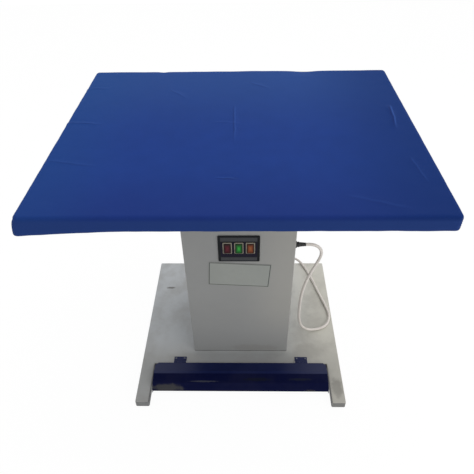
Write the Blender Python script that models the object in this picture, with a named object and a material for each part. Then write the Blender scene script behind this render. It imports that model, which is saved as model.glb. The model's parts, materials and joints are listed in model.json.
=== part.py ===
"""Vacuum ironing table: a padded suction top on a sheet steel pedestal, with a foot pedal in the base.

Metres, +Z up. The origin is on the floor, under the middle of the table top. The user stands on the -Y side.
"""

import math

import bmesh
import bpy
from mathutils import Matrix, Vector

# Gaps and facets
FIT_GAP = 0.0003  # between pieces that touch
RUN_GAP = 0.0006  # between pieces that move past each other
CUT_OVERRUN = 0.004  # how far a cutter runs past what it cuts
ROUND_STEPS = 24
SMALL_STEPS = 12
HOLE_STEPS = 6
CORNER_STEPS = 4
EDGE_STEPS = 4
BEND_STEPS = 3

# Table top
TABLE_HEIGHT = 0.860
TOP_WIDTH = 1.020
TOP_DEPTH = 0.830
CORNER_RADIUS = 0.014
EDGE_RADIUS = 0.010
COVER_THICK = 0.0015
HEM_TUCK = 0.030
HEM_CORD_DIAMETER = 0.004
FELT_THICK = 0.003
FOAM_THICK = 0.009
PERFORATED_THICK = 0.0015
HOLE_DIAMETER = 0.012
HOLE_PITCH = 0.140
HOLE_MARGIN = 0.045

# Suction tray
TRAY_DEPTH = 0.024
TRAY_WALL = 0.0015
TRAY_RIM = 0.014
RIB_COUNT = 4
RIB_THICK = 0.0015
RIB_AIR_WIDTH = 0.050
RIB_AIR_HEIGHT = 0.007
RIB_AIR_COUNT = 5
CROSS_RIB_COUNT = 3
HEATER_DIAMETER = 0.008
HEATER_RUNS = 4
HEATER_PITCH = 0.240
HEATER_RUN_LENGTH = 0.540
HEATER_DROP = 0.003  # the element lies this far under the perforated sheet
HEATER_BEND_STEPS = 8

# Suction duct
COLLAR_BORE_RADIUS = 0.048
COLLAR_WALL = 0.002
COLLAR_FLANGE = 0.016
COLLAR_LENGTH = 0.034
DUCT_WALL = 0.0025

# Bearers under the table top
BEARER_HEIGHT = 0.020
BEARER_THICK = 0.002
BEARER_WEB = 0.034
BEARER_LIP = 0.018
BEARER_LENGTH = 0.840

# Pedestal
PEDESTAL_WIDTH = 0.345
PEDESTAL_DEPTH = 0.360
PEDESTAL_WALL = 0.002
PEDESTAL_CORNER = 0.004
PEDESTAL_FLANGE = 0.030
RETURN_FLANGE = 0.022
BACK_COVER_THICK = 0.0015
BACK_COVER_MARGIN = 0.004
LOUVRE_WIDTH = 0.120
LOUVRE_HEIGHT = 0.013
LOUVRE_REACH = 0.009
LOUVRE_WALL = 0.0012
LOUVRE_PITCH = 0.024
LOUVRE_ROWS = 5
LOUVRE_COLUMNS = 2
LOUVRE_COLUMN_PITCH = 0.142

# Base plate
BASE_WIDTH = 0.722
BASE_DEPTH = 0.682
BASE_HEIGHT = 0.028  # top of the plate above the floor
BASE_SHIFT = 0.051  # the base stands this far in front of the table top's middle
BASE_SHEET = 0.002
BASE_LIP = 0.012
BASE_CORNER = 0.004
NOTCH_WIDTH = 0.628
NOTCH_DEPTH = 0.154
STRIP_THICK = 0.003
STRIP_WIDTH = 0.010

# Foot pedal
PEDAL_SIDE_GAP = 0.005
PEDAL_SHEET = 0.002
PEDAL_BEND = 0.004
PEDAL_START = 0.006  # the sheet begins this far in front of the pin
PEDAL_FLANGE = 0.052
PEDAL_TREAD = 0.044
PEDAL_LIP = 0.034
PEDAL_HEM = 0.014
PEDAL_MITRE = 0.012
CHEEK_START_SHARE = 0.35  # of the flange, where the side cheeks begin
FLANGE_RISE = math.radians(18.0)
TREAD_FALL = math.radians(7.0)
LIP_FALL = math.radians(46.0)

# Pedal hinges
HINGE_SPREAD = 0.444
HINGE_SETBACK = 0.006  # pin behind the notch's edge
LEAF_WIDTH = 0.045
LEAF_DEPTH = 0.024
LEAF_THICK = 0.002
KNUCKLE_RADIUS = 0.004
KNUCKLE_SHARE = 0.34  # of the leaf's width, for the middle knuckle
HINGE_PIN_RADIUS = 0.002
HINGE_PIN_HEAD_RADIUS = 0.0032
HINGE_PIN_HEAD = 0.0012

# Bracket, springs and limit switch under the pedal
BRACKET_WIDTH = 0.460
BRACKET_REACH = 0.074
BRACKET_SHEET = 0.002
BRACKET_BEND = 0.003
BRACKET_CLEAR = 0.004  # under side above the floor
BRACKET_DROP = 0.004  # top edge under the plate's top
SPRING_SPREAD = 0.380
SPRING_RADIUS = 0.007
SPRING_WIRE = 0.0018
SPRING_TURNS = 5
SPRING_TURN_STEPS = 10
SPRING_SETBACK = 0.068  # from the pin forward
SWITCH_PLACE = 0.080
SWITCH_LENGTH = 0.028
SWITCH_WIDTH = 0.010
SWITCH_HEIGHT = 0.016
SWITCH_SETBACK = 0.014
SWITCH_EDGE = 0.001
EAR_SIZE = 0.005
EAR_THICK = 0.0015
LEVER_START = 0.014
LEVER_START_RISE = math.radians(10.0)
LEVER_WIDTH = 0.005
LEVER_THICK = 0.001
LEVER_PIN_RADIUS = 0.001
LEVER_TIP_RADIUS = 0.002
PLUNGER_RADIUS = 0.0014
PLUNGER_PLACE = 0.008  # from the lever's pivot forward
PLUNGER_DEPTH = 0.004
PLUNGER_FOOT = 0.0022  # above the bottom of its bore

# Control panel and switches
PANEL_WIDTH = 0.127
PANEL_HEIGHT = 0.104
PANEL_THICK = 0.002
PANEL_RIM = 0.004
PANEL_RIM_RAISE = 0.0008
PANEL_CORNER = 0.003
PANEL_Z = 0.550
WINDOW_WIDTH = 0.112
SWITCH_PITCH = 0.035
SWITCH_RISE = 0.0045  # the row of switches above the panel's middle
BEZEL_WIDTH = 0.028
BEZEL_HEIGHT = 0.044
BEZEL_THICK = 0.0028
BEZEL_RIM = 0.003
BEZEL_EDGE = 0.0007
BEZEL_CORNER = 0.002
HOUSING_INSET = 0.002
HOUSING_DEPTH = 0.024
HOUSING_FLOOR = 0.003
ROCKER_END_GAP = 0.0008
ROCKER_MIDDLE = 0.0048  # pivot to the face's middle
ROCKER_PROUD = 0.0008
ROCKER_TILT = math.radians(8.0)
ROCKER_BACK_ANGLE = math.radians(24.0)

# Name plate
PLATE_WIDTH = 0.197
PLATE_HEIGHT = 0.102
PLATE_THICK = 0.0008
PLATE_Z = 0.4365
PLATE_CORNER = 0.002
PLATE_TILT = math.radians(3.6)

# Blower
SHELF_Z = 0.360
SHELF_SHEET = 0.002
SHELF_SKIRT = 0.020
SHELF_DEPTH = 0.300
BLOWER_HEIGHT = 0.066
BLOWER_WALL = 0.002
SCROLL_START = 0.084
SCROLL_GROWTH = 0.046
SCROLL_STEPS = 30
TONGUE_ANGLE = math.radians(32.0)
TONGUE_WALL = 0.004
OUTLET_CLEAR = 0.008  # outlet mouth to the back cover
EYE_RADIUS = 0.044
THROAT_GAP = 0.0024
IMPELLER_RADIUS = 0.074
IMPELLER_LIFT = 0.012  # back disc above the blower's floor
IMPELLER_SHEET = 0.002
BLADE_HEIGHT = 0.034
BLADE_COUNT = 10
BLADE_SWEEP = math.radians(38.0)
BLADE_STEPS = 4
HUB_RADIUS = 0.013
HUB_HEIGHT = 0.020

# Motor
SHAFT_RADIUS = 0.006
SHAFT_THREAD = 0.014
SHAFT_NUT_HEIGHT = 0.006
SHAFT_NUT_RADIUS = 0.0095
SHIELD_RADIUS = 0.072
SHIELD_THICK = 0.010
SPIGOT_RADIUS = 0.026
BEARING_DEPTH = 0.016
SHAFT_TAIL = 0.008
STATOR_RADIUS = 0.058
STATOR_LENGTH = 0.100
FIN_COUNT = 24
FIN_HEIGHT = 0.006
FIN_SHARES = (0.0, 0.15, 0.45, 0.6)  # of a fin's pitch: foot, crest, crest, foot
COWL_LENGTH = 0.045
COWL_ROUND = 0.012

# Fasteners
BOLT_RADIUS = 0.003
BOLT_HEAD_RADIUS = 0.0062
BOLT_HEAD = 0.004
BOLT_TAIL = 0.003
SCREW_RADIUS = 0.0016
SCREW_HEAD_RADIUS = 0.0034
SCREW_HEAD = 0.0018
SCREW_CROWN_SHARE = 0.6  # of the head's radius, for its flat top
SCREW_TAIL = 0.006

# Cable gland, cord and plug
GLAND_Y = -0.140
GLAND_Z = 0.530
GLAND_HEX_RADIUS = 0.0115
GLAND_HEX = 0.007
GLAND_DOME_RADIUS = 0.0085
GLAND_DOME = 0.008
GLAND_TAPER = 0.020
GLAND_TIP_RADIUS = 0.0058
GLAND_NECK_RADIUS = 0.0075
GLAND_NECK = 0.012
LOCKNUT = 0.005
CORD_DIAMETER = 0.010
CORD_SPACING = 0.023
CORD_LIFT = 0.0006  # clear of the surface it lies on
COIL_TURNS = 2.5  # in each layer
COIL_STEPS = 24
COIL_INNER = 0.040
COIL_PITCH = 0.0106
COIL_X = 0.040
COIL_Y = 0.390
COIL_TAIL = 0.038
PLUG_LENGTH = 0.046
PLUG_WIDTH = 0.044
PLUG_THICK = 0.030
PLUG_NECK = 0.022
PLUG_NECK_WIDTH = 0.017
PLUG_ROUND = 0.007
PLUG_WIDTH_SHARES = (0.7, 1.0, 1.0, 0.94)  # along the plug's body
PLUG_LENGTH_SHARES = (0.15, 0.4, 0.95, 1.0)
INSERT_THICK = 0.0015
PIN_LENGTH = 0.018
PIN_SPREAD = 0.019
PIN_RISE = 0.006
LIVE_PIN_RADIUS = 0.0026
EARTH_PIN_RADIUS = 0.0036

# The cord's route from the gland: down beside the pedestal, round its loop on the base plate, off the back
CORD_ROUTE = [
    (0.2370, -0.1398, 0.5200),
    (0.2460, -0.1388, 0.4980),
    (0.2430, -0.1370, 0.4680),
    (0.2330, -0.1340, 0.4250),
    (0.2230, -0.1310, 0.3700),
    (0.2160, -0.1270, 0.3100),
    (0.2130, -0.1220, 0.2500),
    (0.2130, -0.1170, 0.1950),
    (0.2165, -0.1110, 0.1400),
    (0.2250, -0.1040, 0.0950),
    (0.2400, -0.0965, 0.0610),
    (0.2610, -0.0900, 0.0400),
    (0.2860, -0.0845, 0.0336),
    (0.3110, -0.0775, 0.0336),
    (0.3330, -0.0630, 0.0336),
    (0.3480, -0.0400, 0.0336),
    (0.3520, -0.0110, 0.0336),
    (0.3460, 0.0250, 0.0336),
    (0.3340, 0.0700, 0.0336),
    (0.3190, 0.1250, 0.0336),
    (0.3050, 0.1800, 0.0336),
    (0.2900, 0.2300, 0.0336),
    (0.2760, 0.2650, 0.0340),
    (0.2620, 0.2920, 0.0342),
    (0.2430, 0.3190, 0.0280),
    (0.2190, 0.3400, 0.0165),
    (0.1900, 0.3520, 0.0075),
    (0.1600, 0.3530, 0.0056),
    (0.1300, 0.3450, 0.0056),
    (0.1000, 0.3320, 0.0056),
]

# Places that follow from the sizes
COVER_INNER_Z = TABLE_HEIGHT - COVER_THICK
FELT_TOP = COVER_INNER_Z - FIT_GAP
FELT_BOTTOM = FELT_TOP - FELT_THICK
FOAM_TOP = FELT_BOTTOM - FIT_GAP
FOAM_BOTTOM = FOAM_TOP - FOAM_THICK
PERFORATED_TOP = FOAM_BOTTOM - FIT_GAP
PERFORATED_BOTTOM = PERFORATED_TOP - PERFORATED_THICK
TRAY_TOP = PERFORATED_BOTTOM - FIT_GAP
TRAY_BOTTOM = TRAY_TOP - TRAY_DEPTH
TRAY_FLOOR = TRAY_BOTTOM + TRAY_WALL
HEATER_Z = TRAY_TOP - HEATER_DROP - HEATER_DIAMETER / 2
HEM_TOP = TRAY_BOTTOM - FIT_GAP
HEM_BOTTOM = HEM_TOP - COVER_THICK
PACK_INSET = COVER_THICK + FIT_GAP  # pad, sheet and tray lie this far inside the cover
BEARER_TOP = TRAY_BOTTOM - FIT_GAP
BEARER_BOTTOM = BEARER_TOP - BEARER_HEIGHT
PEDESTAL_TOP = BEARER_BOTTOM - FIT_GAP
PEDESTAL_BOTTOM = BASE_HEIGHT + FIT_GAP
PEDESTAL_FRONT = -PEDESTAL_DEPTH / 2
PEDESTAL_BACK = PEDESTAL_DEPTH / 2
PEDESTAL_SIDE = PEDESTAL_WIDTH / 2
PEDESTAL_MIDDLE_Z = (PEDESTAL_TOP + PEDESTAL_BOTTOM) / 2
BEARER_Y = PEDESTAL_BACK - PEDESTAL_FLANGE
BACK_FACE = PEDESTAL_BACK + FIT_GAP
BASE_FRONT = -BASE_SHIFT - BASE_DEPTH / 2
BASE_BACK = -BASE_SHIFT + BASE_DEPTH / 2
NOTCH_BACK = BASE_FRONT + NOTCH_DEPTH
PIN_Y = NOTCH_BACK + HINGE_SETBACK
PIN_Z = BASE_HEIGHT + FIT_GAP + KNUCKLE_RADIUS
BRACKET_TOP = BRACKET_CLEAR + BRACKET_SHEET
SWITCH_BOTTOM = BRACKET_TOP + FIT_GAP
SWITCH_TOP = SWITCH_BOTTOM + SWITCH_HEIGHT
SWITCH_BACK = PIN_Y - SWITCH_SETBACK
BLOWER_BOTTOM = SHELF_Z + FIT_GAP
BLOWER_TOP = BLOWER_BOTTOM + BLOWER_HEIGHT
OUTLET_Y = PEDESTAL_BACK - OUTLET_CLEAR
SCROLL_REACH = SCROLL_START + SCROLL_GROWTH
DISC_BOTTOM = BLOWER_BOTTOM + BLOWER_WALL + IMPELLER_LIFT
DISC_TOP = DISC_BOTTOM + IMPELLER_SHEET
HUB_TOP = DISC_BOTTOM + HUB_HEIGHT
SHROUD_BOTTOM = DISC_TOP + BLADE_HEIGHT
SHROUD_TOP = SHROUD_BOTTOM + IMPELLER_SHEET
SHIELD_TOP = SHELF_Z - SHELF_SHEET - FIT_GAP
SHIELD_BOTTOM = SHIELD_TOP - SHIELD_THICK
STATOR_TOP = SHIELD_BOTTOM - FIT_GAP
STATOR_BOTTOM = STATOR_TOP - STATOR_LENGTH
COLLAR_OUTER = COLLAR_BORE_RADIUS + COLLAR_WALL
RING_LOW = BLOWER_TOP + FIT_GAP
RING_HIGH = RING_LOW + COLLAR_WALL
DUCT_BORE = COLLAR_OUTER + FIT_GAP
DUCT_OUTER = DUCT_BORE + DUCT_WALL
DUCT_TOP = TRAY_BOTTOM - FIT_GAP
DUCT_BOTTOM = RING_HIGH + FIT_GAP
SWITCH_ROW_Z = PANEL_Z + SWITCH_RISE
PANEL_BACK = -PEDESTAL_FRONT + FIT_GAP  # distances in front of the middle plane
PANEL_FACE = PANEL_BACK + PANEL_THICK + FIT_GAP
ROCKER_PIVOT = PANEL_FACE + BEZEL_THICK + ROCKER_PROUD - ROCKER_MIDDLE
GLAND_OUT = PEDESTAL_SIDE + FIT_GAP
GLAND_END = GLAND_OUT + GLAND_HEX + GLAND_DOME + GLAND_TAPER

UPRIGHT = Matrix.Identity(4)
ALONG_X = Matrix(((0, 0, 1, 0), (1, 0, 0, 0), (0, 1, 0, 0), (0, 0, 0, 1)))  # outline in Y and Z, run along +X
TOWARDS_FRONT = Matrix(((1, 0, 0, 0), (0, 0, -1, 0), (0, 1, 0, 0), (0, 0, 0, 1)))  # outline in X and Z, run along -Y


# Outlines: lists of (x, y) points, counter-clockwise

def circle(radius, steps=ROUND_STEPS, middle=(0.0, 0.0)):
    turn = math.tau / steps
    return [
        (middle[0] + radius * math.cos(turn * step), middle[1] + radius * math.sin(turn * step))
        for step in range(steps)
    ]


def hexagon(radius):
    """A hexagon of this corner radius with a point on the middle of each side, to match a circle of 12 steps."""
    flat = math.cos(math.pi / 6)
    return [
        (radius * reach * math.cos(math.pi / 6 * step), radius * reach * math.sin(math.pi / 6 * step))
        for step, reach in enumerate([1.0, flat] * 6)
    ]


def rounded_outline(corners, radii, steps=CORNER_STEPS):
    """Rounds each corner of a closed outline to its own radius."""
    points = []
    for index, corner in enumerate(corners):
        here = Vector(corner)
        before = (Vector(corners[index - 1]) - here).normalized()
        after = (Vector(corners[(index + 1) % len(corners)]) - here).normalized()
        half = before.angle(after) / 2
        radius = max(radii[index], FIT_GAP)
        centre = here + (before + after).normalized() * (radius / math.sin(half))
        start = here + before * (radius / math.tan(half)) - centre
        sweep = start.angle_signed(here + after * (radius / math.tan(half)) - centre)
        for step in range(steps + 1):
            spoke = start.copy()
            spoke.rotate(Matrix.Rotation(-sweep * step / steps, 2))
            points.append(tuple(centre + spoke))
    return points


def rectangle(width, depth, radius, steps=CORNER_STEPS, middle=(0.0, 0.0)):
    x, y = width / 2, depth / 2
    corners = [(-x, -y), (x, -y), (x, y), (-x, y)]
    placed = [(middle[0] + corner[0], middle[1] + corner[1]) for corner in corners]
    return rounded_outline(placed, [radius] * len(corners), steps)


def sheet_outline(path, thickness, bend, steps=BEND_STEPS):
    """The edge outline of a sheet folded along a path, with round bends."""
    knots = [Vector(point) for point in path]
    line = [(knots[0], (knots[1] - knots[0]).normalized())]
    for before, here, after in zip(knots, knots[1:], knots[2:]):
        come = (here - before).normalized()
        leave = (after - here).normalized()
        turn = come.angle_signed(leave)
        setback = bend * math.tan(abs(turn) / 2)
        inward = Vector((-come.y, come.x)) * (-1.0 if turn > 0 else 1.0)
        centre = here - come * setback + inward * bend
        for step in range(steps + 1):
            rotation = Matrix.Rotation(-turn * step / steps, 2)
            spoke, heading = -inward * bend, come.copy()
            spoke.rotate(rotation)
            heading.rotate(rotation)
            line.append((centre + spoke, heading))
    line.append((knots[-1], (knots[-1] - knots[-2]).normalized()))
    sides = ([], [])
    for point, heading in line:
        across = Vector((-heading.y, heading.x)) * (thickness / 2)
        sides[0].append(tuple(point - across))
        sides[1].append(tuple(point + across))
    return sides[0] + sides[1][::-1]


def spread(count, pitch):
    """Places at an even pitch about zero."""
    return [pitch * (index - (count - 1) / 2) for index in range(count)]


# Solids

def moved(x, y, z):
    return Matrix.Translation((x, y, z))


def loft(sections, matrix=UPRIGHT, ring=False):
    """Joins outlines at their heights with faces, capped at both ends or closed into a ring."""
    body = bmesh.new()
    loops = [[body.verts.new((x, y, height)) for x, y in outline] for outline, height in sections]
    pairs = list(zip(loops, loops[1:]))
    if ring:
        pairs.append((loops[-1], loops[0]))
    else:
        body.faces.new(loops[0][::-1])
        body.faces.new(loops[-1])
    for lower, upper in pairs:
        for index, corner in enumerate(lower):
            following = (index + 1) % len(lower)
            body.faces.new((corner, lower[following], upper[following], upper[index]))
    body.transform(matrix)
    bmesh.ops.recalc_face_normals(body, faces=body.faces)
    return body


def slab(outline, low, high, matrix=UPRIGHT):
    return loft([(outline, low), (outline, high)], matrix)


def turned(profile, steps=ROUND_STEPS, matrix=UPRIGHT, ring=False):
    """A turned solid from (radius, height) pairs, or a turned ring."""
    return loft([(circle(radius, steps), height) for radius, height in profile], matrix, ring)


def tube_ring(bore, outer, low, high, matrix=UPRIGHT):
    return turned([(bore, low), (outer, low), (outer, high), (bore, high)], matrix=matrix, ring=True)


def hole(x, y, low, high, radius, steps=SMALL_STEPS):
    return slab(circle(radius, steps, (x, y)), low, high)


def mesh_from(bodies, name):
    whole = bmesh.new()
    for body in bodies:
        piece = bpy.data.meshes.new(name)
        body.to_mesh(piece)
        body.free()
        whole.from_mesh(piece)
        bpy.data.meshes.remove(piece)
    mesh = bpy.data.meshes.new(name)
    whole.to_mesh(mesh)
    whole.free()
    return mesh


def make_node(name, body, material, origin=(0.0, 0.0, 0.0), smooth=False):
    """Links one named object, with its origin where asked."""
    mesh = mesh_from([body], name)
    mesh.transform(Matrix.Translation(origin).inverted())
    mesh.materials.append(material)
    if smooth:
        mesh.shade_smooth()
        mesh.set_sharp_from_angle(angle=math.radians(35.0))
    node = bpy.data.objects.new(name, mesh)
    node.location = origin
    bpy.context.scene.collection.objects.link(node)
    return node


def add_tool(node, bodies, operation):
    tool = bpy.data.objects.new(f"{node.name}_{operation.lower()}", mesh_from(bodies, node.name))
    tool.hide_render = True
    tool.display_type = "WIRE"
    bpy.context.scene.collection.objects.link(tool)
    step = node.modifiers.new(operation.title(), "BOOLEAN")
    step.operation = operation
    step.solver = "EXACT"
    step.object = tool
    return node


def cut(node, bodies):
    return add_tool(node, bodies, "DIFFERENCE")


def fuse(node, bodies):
    return add_tool(node, bodies, "UNION")


def make_tube(name, points, diameter, resolution, material):
    """A round tube along points, as a curve with filled caps."""
    curve = bpy.data.curves.new(name, "CURVE")
    curve.dimensions = "3D"
    curve.bevel_depth = diameter / 2
    curve.bevel_resolution = resolution
    curve.use_fill_caps = True
    line = curve.splines.new("POLY")
    line.points.add(len(points) - 1)
    for knot, point in zip(line.points, points):
        knot.co = (*point, 1.0)
    curve.materials.append(material)
    node = bpy.data.objects.new(name, curve)
    bpy.context.scene.collection.objects.link(node)
    return node


def paint(name, colour, roughness, metallic=0.0):
    material = bpy.data.materials.new(name)
    material.use_nodes = True
    shader = material.node_tree.nodes["Principled BSDF"]
    shader.inputs["Base Color"].default_value = (*colour, 1.0)
    shader.inputs["Roughness"].default_value = roughness
    shader.inputs["Metallic"].default_value = metallic
    return material


def make_finishes():
    looks = {
        "plate_paint": ((0.38, 0.39, 0.40), 0.5),
        "cabinet_paint": ((0.27, 0.27, 0.28), 0.5),
        "navy_paint": ((0.010, 0.010, 0.075), 0.35),
        "blue_fabric": ((0.020, 0.055, 0.240), 0.9),
        "felt": ((0.60, 0.58, 0.54), 0.95),
        "foam": ((0.70, 0.66, 0.52), 0.95),
        "zinc": ((0.55, 0.56, 0.58), 0.35, 1.0),
        "steel": ((0.45, 0.45, 0.46), 0.3, 1.0),
        "aluminium": ((0.60, 0.61, 0.62), 0.4, 1.0),
        "black_plastic": ((0.015, 0.015, 0.016), 0.45),
        "panel_black": ((0.030, 0.032, 0.036), 0.5),
        "beige_plastic": ((0.46, 0.42, 0.34), 0.4),
        "red_lens": ((0.30, 0.010, 0.020), 0.25),
        "green_lens": ((0.010, 0.30, 0.060), 0.25),
        "amber_lens": ((0.60, 0.12, 0.015), 0.25),
        "label": ((0.42, 0.42, 0.41), 0.6),
        "rubber": ((0.02, 0.02, 0.02), 0.8),
        "white_cord": ((0.70, 0.64, 0.60), 0.5),
        "brass": ((0.60, 0.42, 0.18), 0.3, 1.0),
    }
    return {name: paint(name, *look) for name, look in looks.items()}


# Fasteners

def bolt(x, y, under_head, length):
    """A hexagon bolt with its thread down and the under side of its head at under_head."""
    sections = [
        (hexagon(BOLT_HEAD_RADIUS), under_head + BOLT_HEAD),
        (hexagon(BOLT_HEAD_RADIUS), under_head),
        (circle(BOLT_RADIUS, SMALL_STEPS), under_head),
        (circle(BOLT_RADIUS, SMALL_STEPS), under_head - length),
    ]
    return loft(sections, moved(x, y, 0.0))


def hex_nut(corner, bore, low, high, matrix=UPRIGHT):
    opening = circle(bore + FIT_GAP, SMALL_STEPS)
    sections = [(hexagon(corner), low), (hexagon(corner), high), (opening, high), (opening, low)]
    return loft(sections, matrix, ring=True)


def screw(length, matrix):
    """A pan head screw along -Z of its matrix, with the under side of its head at zero."""
    profile = [
        (SCREW_HEAD_RADIUS * SCREW_CROWN_SHARE, SCREW_HEAD),
        (SCREW_HEAD_RADIUS, SCREW_HEAD / 2),
        (SCREW_HEAD_RADIUS, 0.0),
        (SCREW_RADIUS, 0.0),
        (SCREW_RADIUS, -length),
    ]
    return turned(profile, SMALL_STEPS, matrix)


# Table top

def top_outline(inset):
    return rectangle(TOP_WIDTH - 2 * inset, TOP_DEPTH - 2 * inset, CORNER_RADIUS - inset)


def edge_inset(drop, radius):
    """How far a round top edge lies inside the side, this far below the top."""
    if drop >= radius:
        return 0.0
    return radius - math.sqrt(radius**2 - (radius - drop) ** 2)


def edge_rings(top, bottom, inset, crown):
    """Sections, bottom to top, of a layer whose edge follows the round under the crown."""
    edge = EDGE_RADIUS - inset
    round_drops = [edge * (1 - math.sin(math.pi / 2 * step / EDGE_STEPS)) for step in range(EDGE_STEPS)]
    between = [drop for drop in round_drops if crown - top < drop < crown - bottom]
    drops = [crown - bottom, *between, crown - top]
    return [(top_outline(inset + edge_inset(drop, edge)), crown - drop) for drop in drops]


def make_cover(material):
    """The sewn cover: top, skirt and a hem tucked under the tray."""
    outer = edge_rings(TABLE_HEIGHT, HEM_BOTTOM, 0.0, TABLE_HEIGHT)
    inner = edge_rings(COVER_INNER_Z, HEM_TOP, COVER_THICK, COVER_INNER_Z)
    hem = [(top_outline(HEM_TUCK), HEM_TOP), (top_outline(HEM_TUCK), HEM_BOTTOM)]
    return make_node("fabric_cover", loft(inner[::-1] + hem + outer), material, smooth=True)


def make_hem_cord(material):
    """The cord in the mouth of the hem, a closed loop under the tray."""
    radius = HEM_CORD_DIAMETER / 2
    middle = HEM_TUCK + FIT_GAP + radius
    sections = []
    for step in range(HOLE_STEPS):
        angle = math.tau * step / HOLE_STEPS
        height = TRAY_BOTTOM - FIT_GAP - radius + radius * math.sin(angle)
        sections.append((top_outline(middle + radius * math.cos(angle)), height))
    return make_node("hem_cord", loft(sections, ring=True), material, smooth=True)


def make_pad(finishes):
    felt = loft(edge_rings(FELT_TOP, FELT_BOTTOM, PACK_INSET, FELT_TOP))
    foam = loft(edge_rings(FOAM_TOP, FOAM_BOTTOM, PACK_INSET, FELT_TOP))
    make_node("felt_layer", felt, finishes["felt"], smooth=True)
    make_node("foam_pad", foam, finishes["foam"], smooth=True)


def make_perforated_sheet(material):
    body = slab(top_outline(PACK_INSET), PERFORATED_BOTTOM, PERFORATED_TOP)
    node = make_node("perforated_sheet", body, material)
    columns = int((TOP_WIDTH - 2 * HOLE_MARGIN) / HOLE_PITCH) + 1
    rows = int((TOP_DEPTH - 2 * HOLE_MARGIN) / HOLE_PITCH) + 1
    low, high = PERFORATED_BOTTOM - CUT_OVERRUN, PERFORATED_TOP + CUT_OVERRUN
    places = [(x, y) for x in spread(columns, HOLE_PITCH) for y in spread(rows, HOLE_PITCH)]
    return cut(node, [hole(x, y, low, high, HOLE_DIAMETER / 2, HOLE_STEPS) for x, y in places])


def make_tray(material):
    """The suction box: a shallow tray with its rim turned in under the perforated sheet, and a welded collar."""
    wall, rim = PACK_INSET + TRAY_WALL, PACK_INSET + TRAY_RIM
    sections = [
        (top_outline(wall), TRAY_FLOOR),
        (top_outline(wall), TRAY_TOP - TRAY_WALL),
        (top_outline(rim), TRAY_TOP - TRAY_WALL),
        (top_outline(rim), TRAY_TOP),
        (top_outline(PACK_INSET), TRAY_TOP),
        (top_outline(PACK_INSET), TRAY_BOTTOM),
    ]
    node = make_node("suction_tray", loft(sections), material)
    end = TRAY_BOTTOM - COLLAR_LENGTH
    fuse(node, [hole(0.0, 0.0, end, TRAY_BOTTOM + TRAY_WALL / 2, COLLAR_OUTER, ROUND_STEPS)])
    return cut(node, [hole(0.0, 0.0, end - CUT_OVERRUN, TRAY_FLOOR + CUT_OVERRUN, COLLAR_BORE_RADIUS, ROUND_STEPS)])


def rib_outline(length):
    """A comb along X: air gaps under it, and slots in its top for the heater's runs."""
    low, high = TRAY_FLOOR + FIT_GAP, TRAY_TOP
    points = [(-length / 2, low)]
    for x in spread(RIB_AIR_COUNT, length / RIB_AIR_COUNT):
        left, right = x - RIB_AIR_WIDTH / 2, x + RIB_AIR_WIDTH / 2
        points += [(left, low), (left, low + RIB_AIR_HEIGHT), (right, low + RIB_AIR_HEIGHT), (right, low)]
    points += [(length / 2, low), (length / 2, high)]
    slot, floor = HEATER_DIAMETER / 2 + FIT_GAP, HEATER_Z - HEATER_DIAMETER / 2 - FIT_GAP
    for x in reversed(spread(HEATER_RUNS, HEATER_PITCH)):
        points += [(x + slot, high), (x + slot, floor), (x - slot, floor), (x - slot, high)]
    points.append((-length / 2, high))
    return points


def make_ribs(material):
    """Long ribs under the perforated sheet, tied by short cross ribs into one grid."""
    length = TOP_WIDTH - 2 * (PACK_INSET + TRAY_RIM + FIT_GAP)
    pitch = (TOP_DEPTH - 2 * PACK_INSET) / (RIB_COUNT + 1)
    half = RIB_THICK / 2
    first, *others = [slab(rib_outline(length), -y - half, -y + half, TOWARDS_FRONT) for y in spread(RIB_COUNT, pitch)]
    node = make_node("support_grid", first, material)
    reach = pitch * (RIB_COUNT - 1) / 2 + RIB_THICK
    low, high = TRAY_FLOOR + 2 * RIB_AIR_HEIGHT / 3, TRAY_TOP - RIB_AIR_HEIGHT
    outline = [(-reach, low), (reach, low), (reach, high), (-reach, high)]
    ties = [slab(outline, x - half, x + half, ALONG_X) for x in spread(CROSS_RIB_COUNT, HEATER_PITCH)]
    fuse(node, ties)
    return fuse(node, others)


def make_heater(material):
    """A tubular element that runs to and fro across the ribs."""
    end, radius, points = HEATER_RUN_LENGTH / 2, HEATER_PITCH / 2, []
    for index, x in enumerate(spread(HEATER_RUNS, HEATER_PITCH)):
        way = 1.0 if index % 2 else -1.0
        points += [(x, -way * end, HEATER_Z), (x, way * end, HEATER_Z)]
        if index < HEATER_RUNS - 1:
            for step in range(1, HEATER_BEND_STEPS):
                angle = math.pi * step / HEATER_BEND_STEPS
                across = x + radius * (1 - math.cos(angle))
                points.append((across, way * (end + radius * math.sin(angle)), HEATER_Z))
    return make_tube("board_heater", points, HEATER_DIAMETER, 1, material)


# Bearers, pedestal and its back cover

def make_bearers(material):
    """Two hat channels across the pedestal that carry the tray on their lips."""
    web, lip, half = BEARER_WEB / 2, BEARER_LIP, BEARER_THICK / 2
    top, bottom = BEARER_TOP - half, BEARER_BOTTOM + half
    profile = [(-web - lip, top), (-web, top), (-web, bottom), (web, bottom), (web, top), (web + lip, top)]
    for name, middle in (("top_bearer_front", -BEARER_Y), ("top_bearer_back", BEARER_Y)):
        outline = sheet_outline([(middle + y, z) for y, z in profile], BEARER_THICK, BEARER_THICK, 2)
        make_node(name, slab(outline, -BEARER_LENGTH / 2, BEARER_LENGTH / 2, ALONG_X), material)


def pedestal_outline(inset):
    return rectangle(PEDESTAL_WIDTH - 2 * inset, PEDESTAL_DEPTH - 2 * inset, PEDESTAL_CORNER - inset, 2)


def base_bolt_places():
    x = PEDESTAL_SIDE - PEDESTAL_FLANGE / 2
    return [(side * x, end * BEARER_Y) for side in (-1, 1) for end in (-1, 1)]


def cover_screw_places():
    x = PEDESTAL_SIDE - PEDESTAL_WALL - RETURN_FLANGE / 2
    return [(side * x, PEDESTAL_TOP - PEDESTAL_FLANGE) for side in (-1, 1)]


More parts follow.
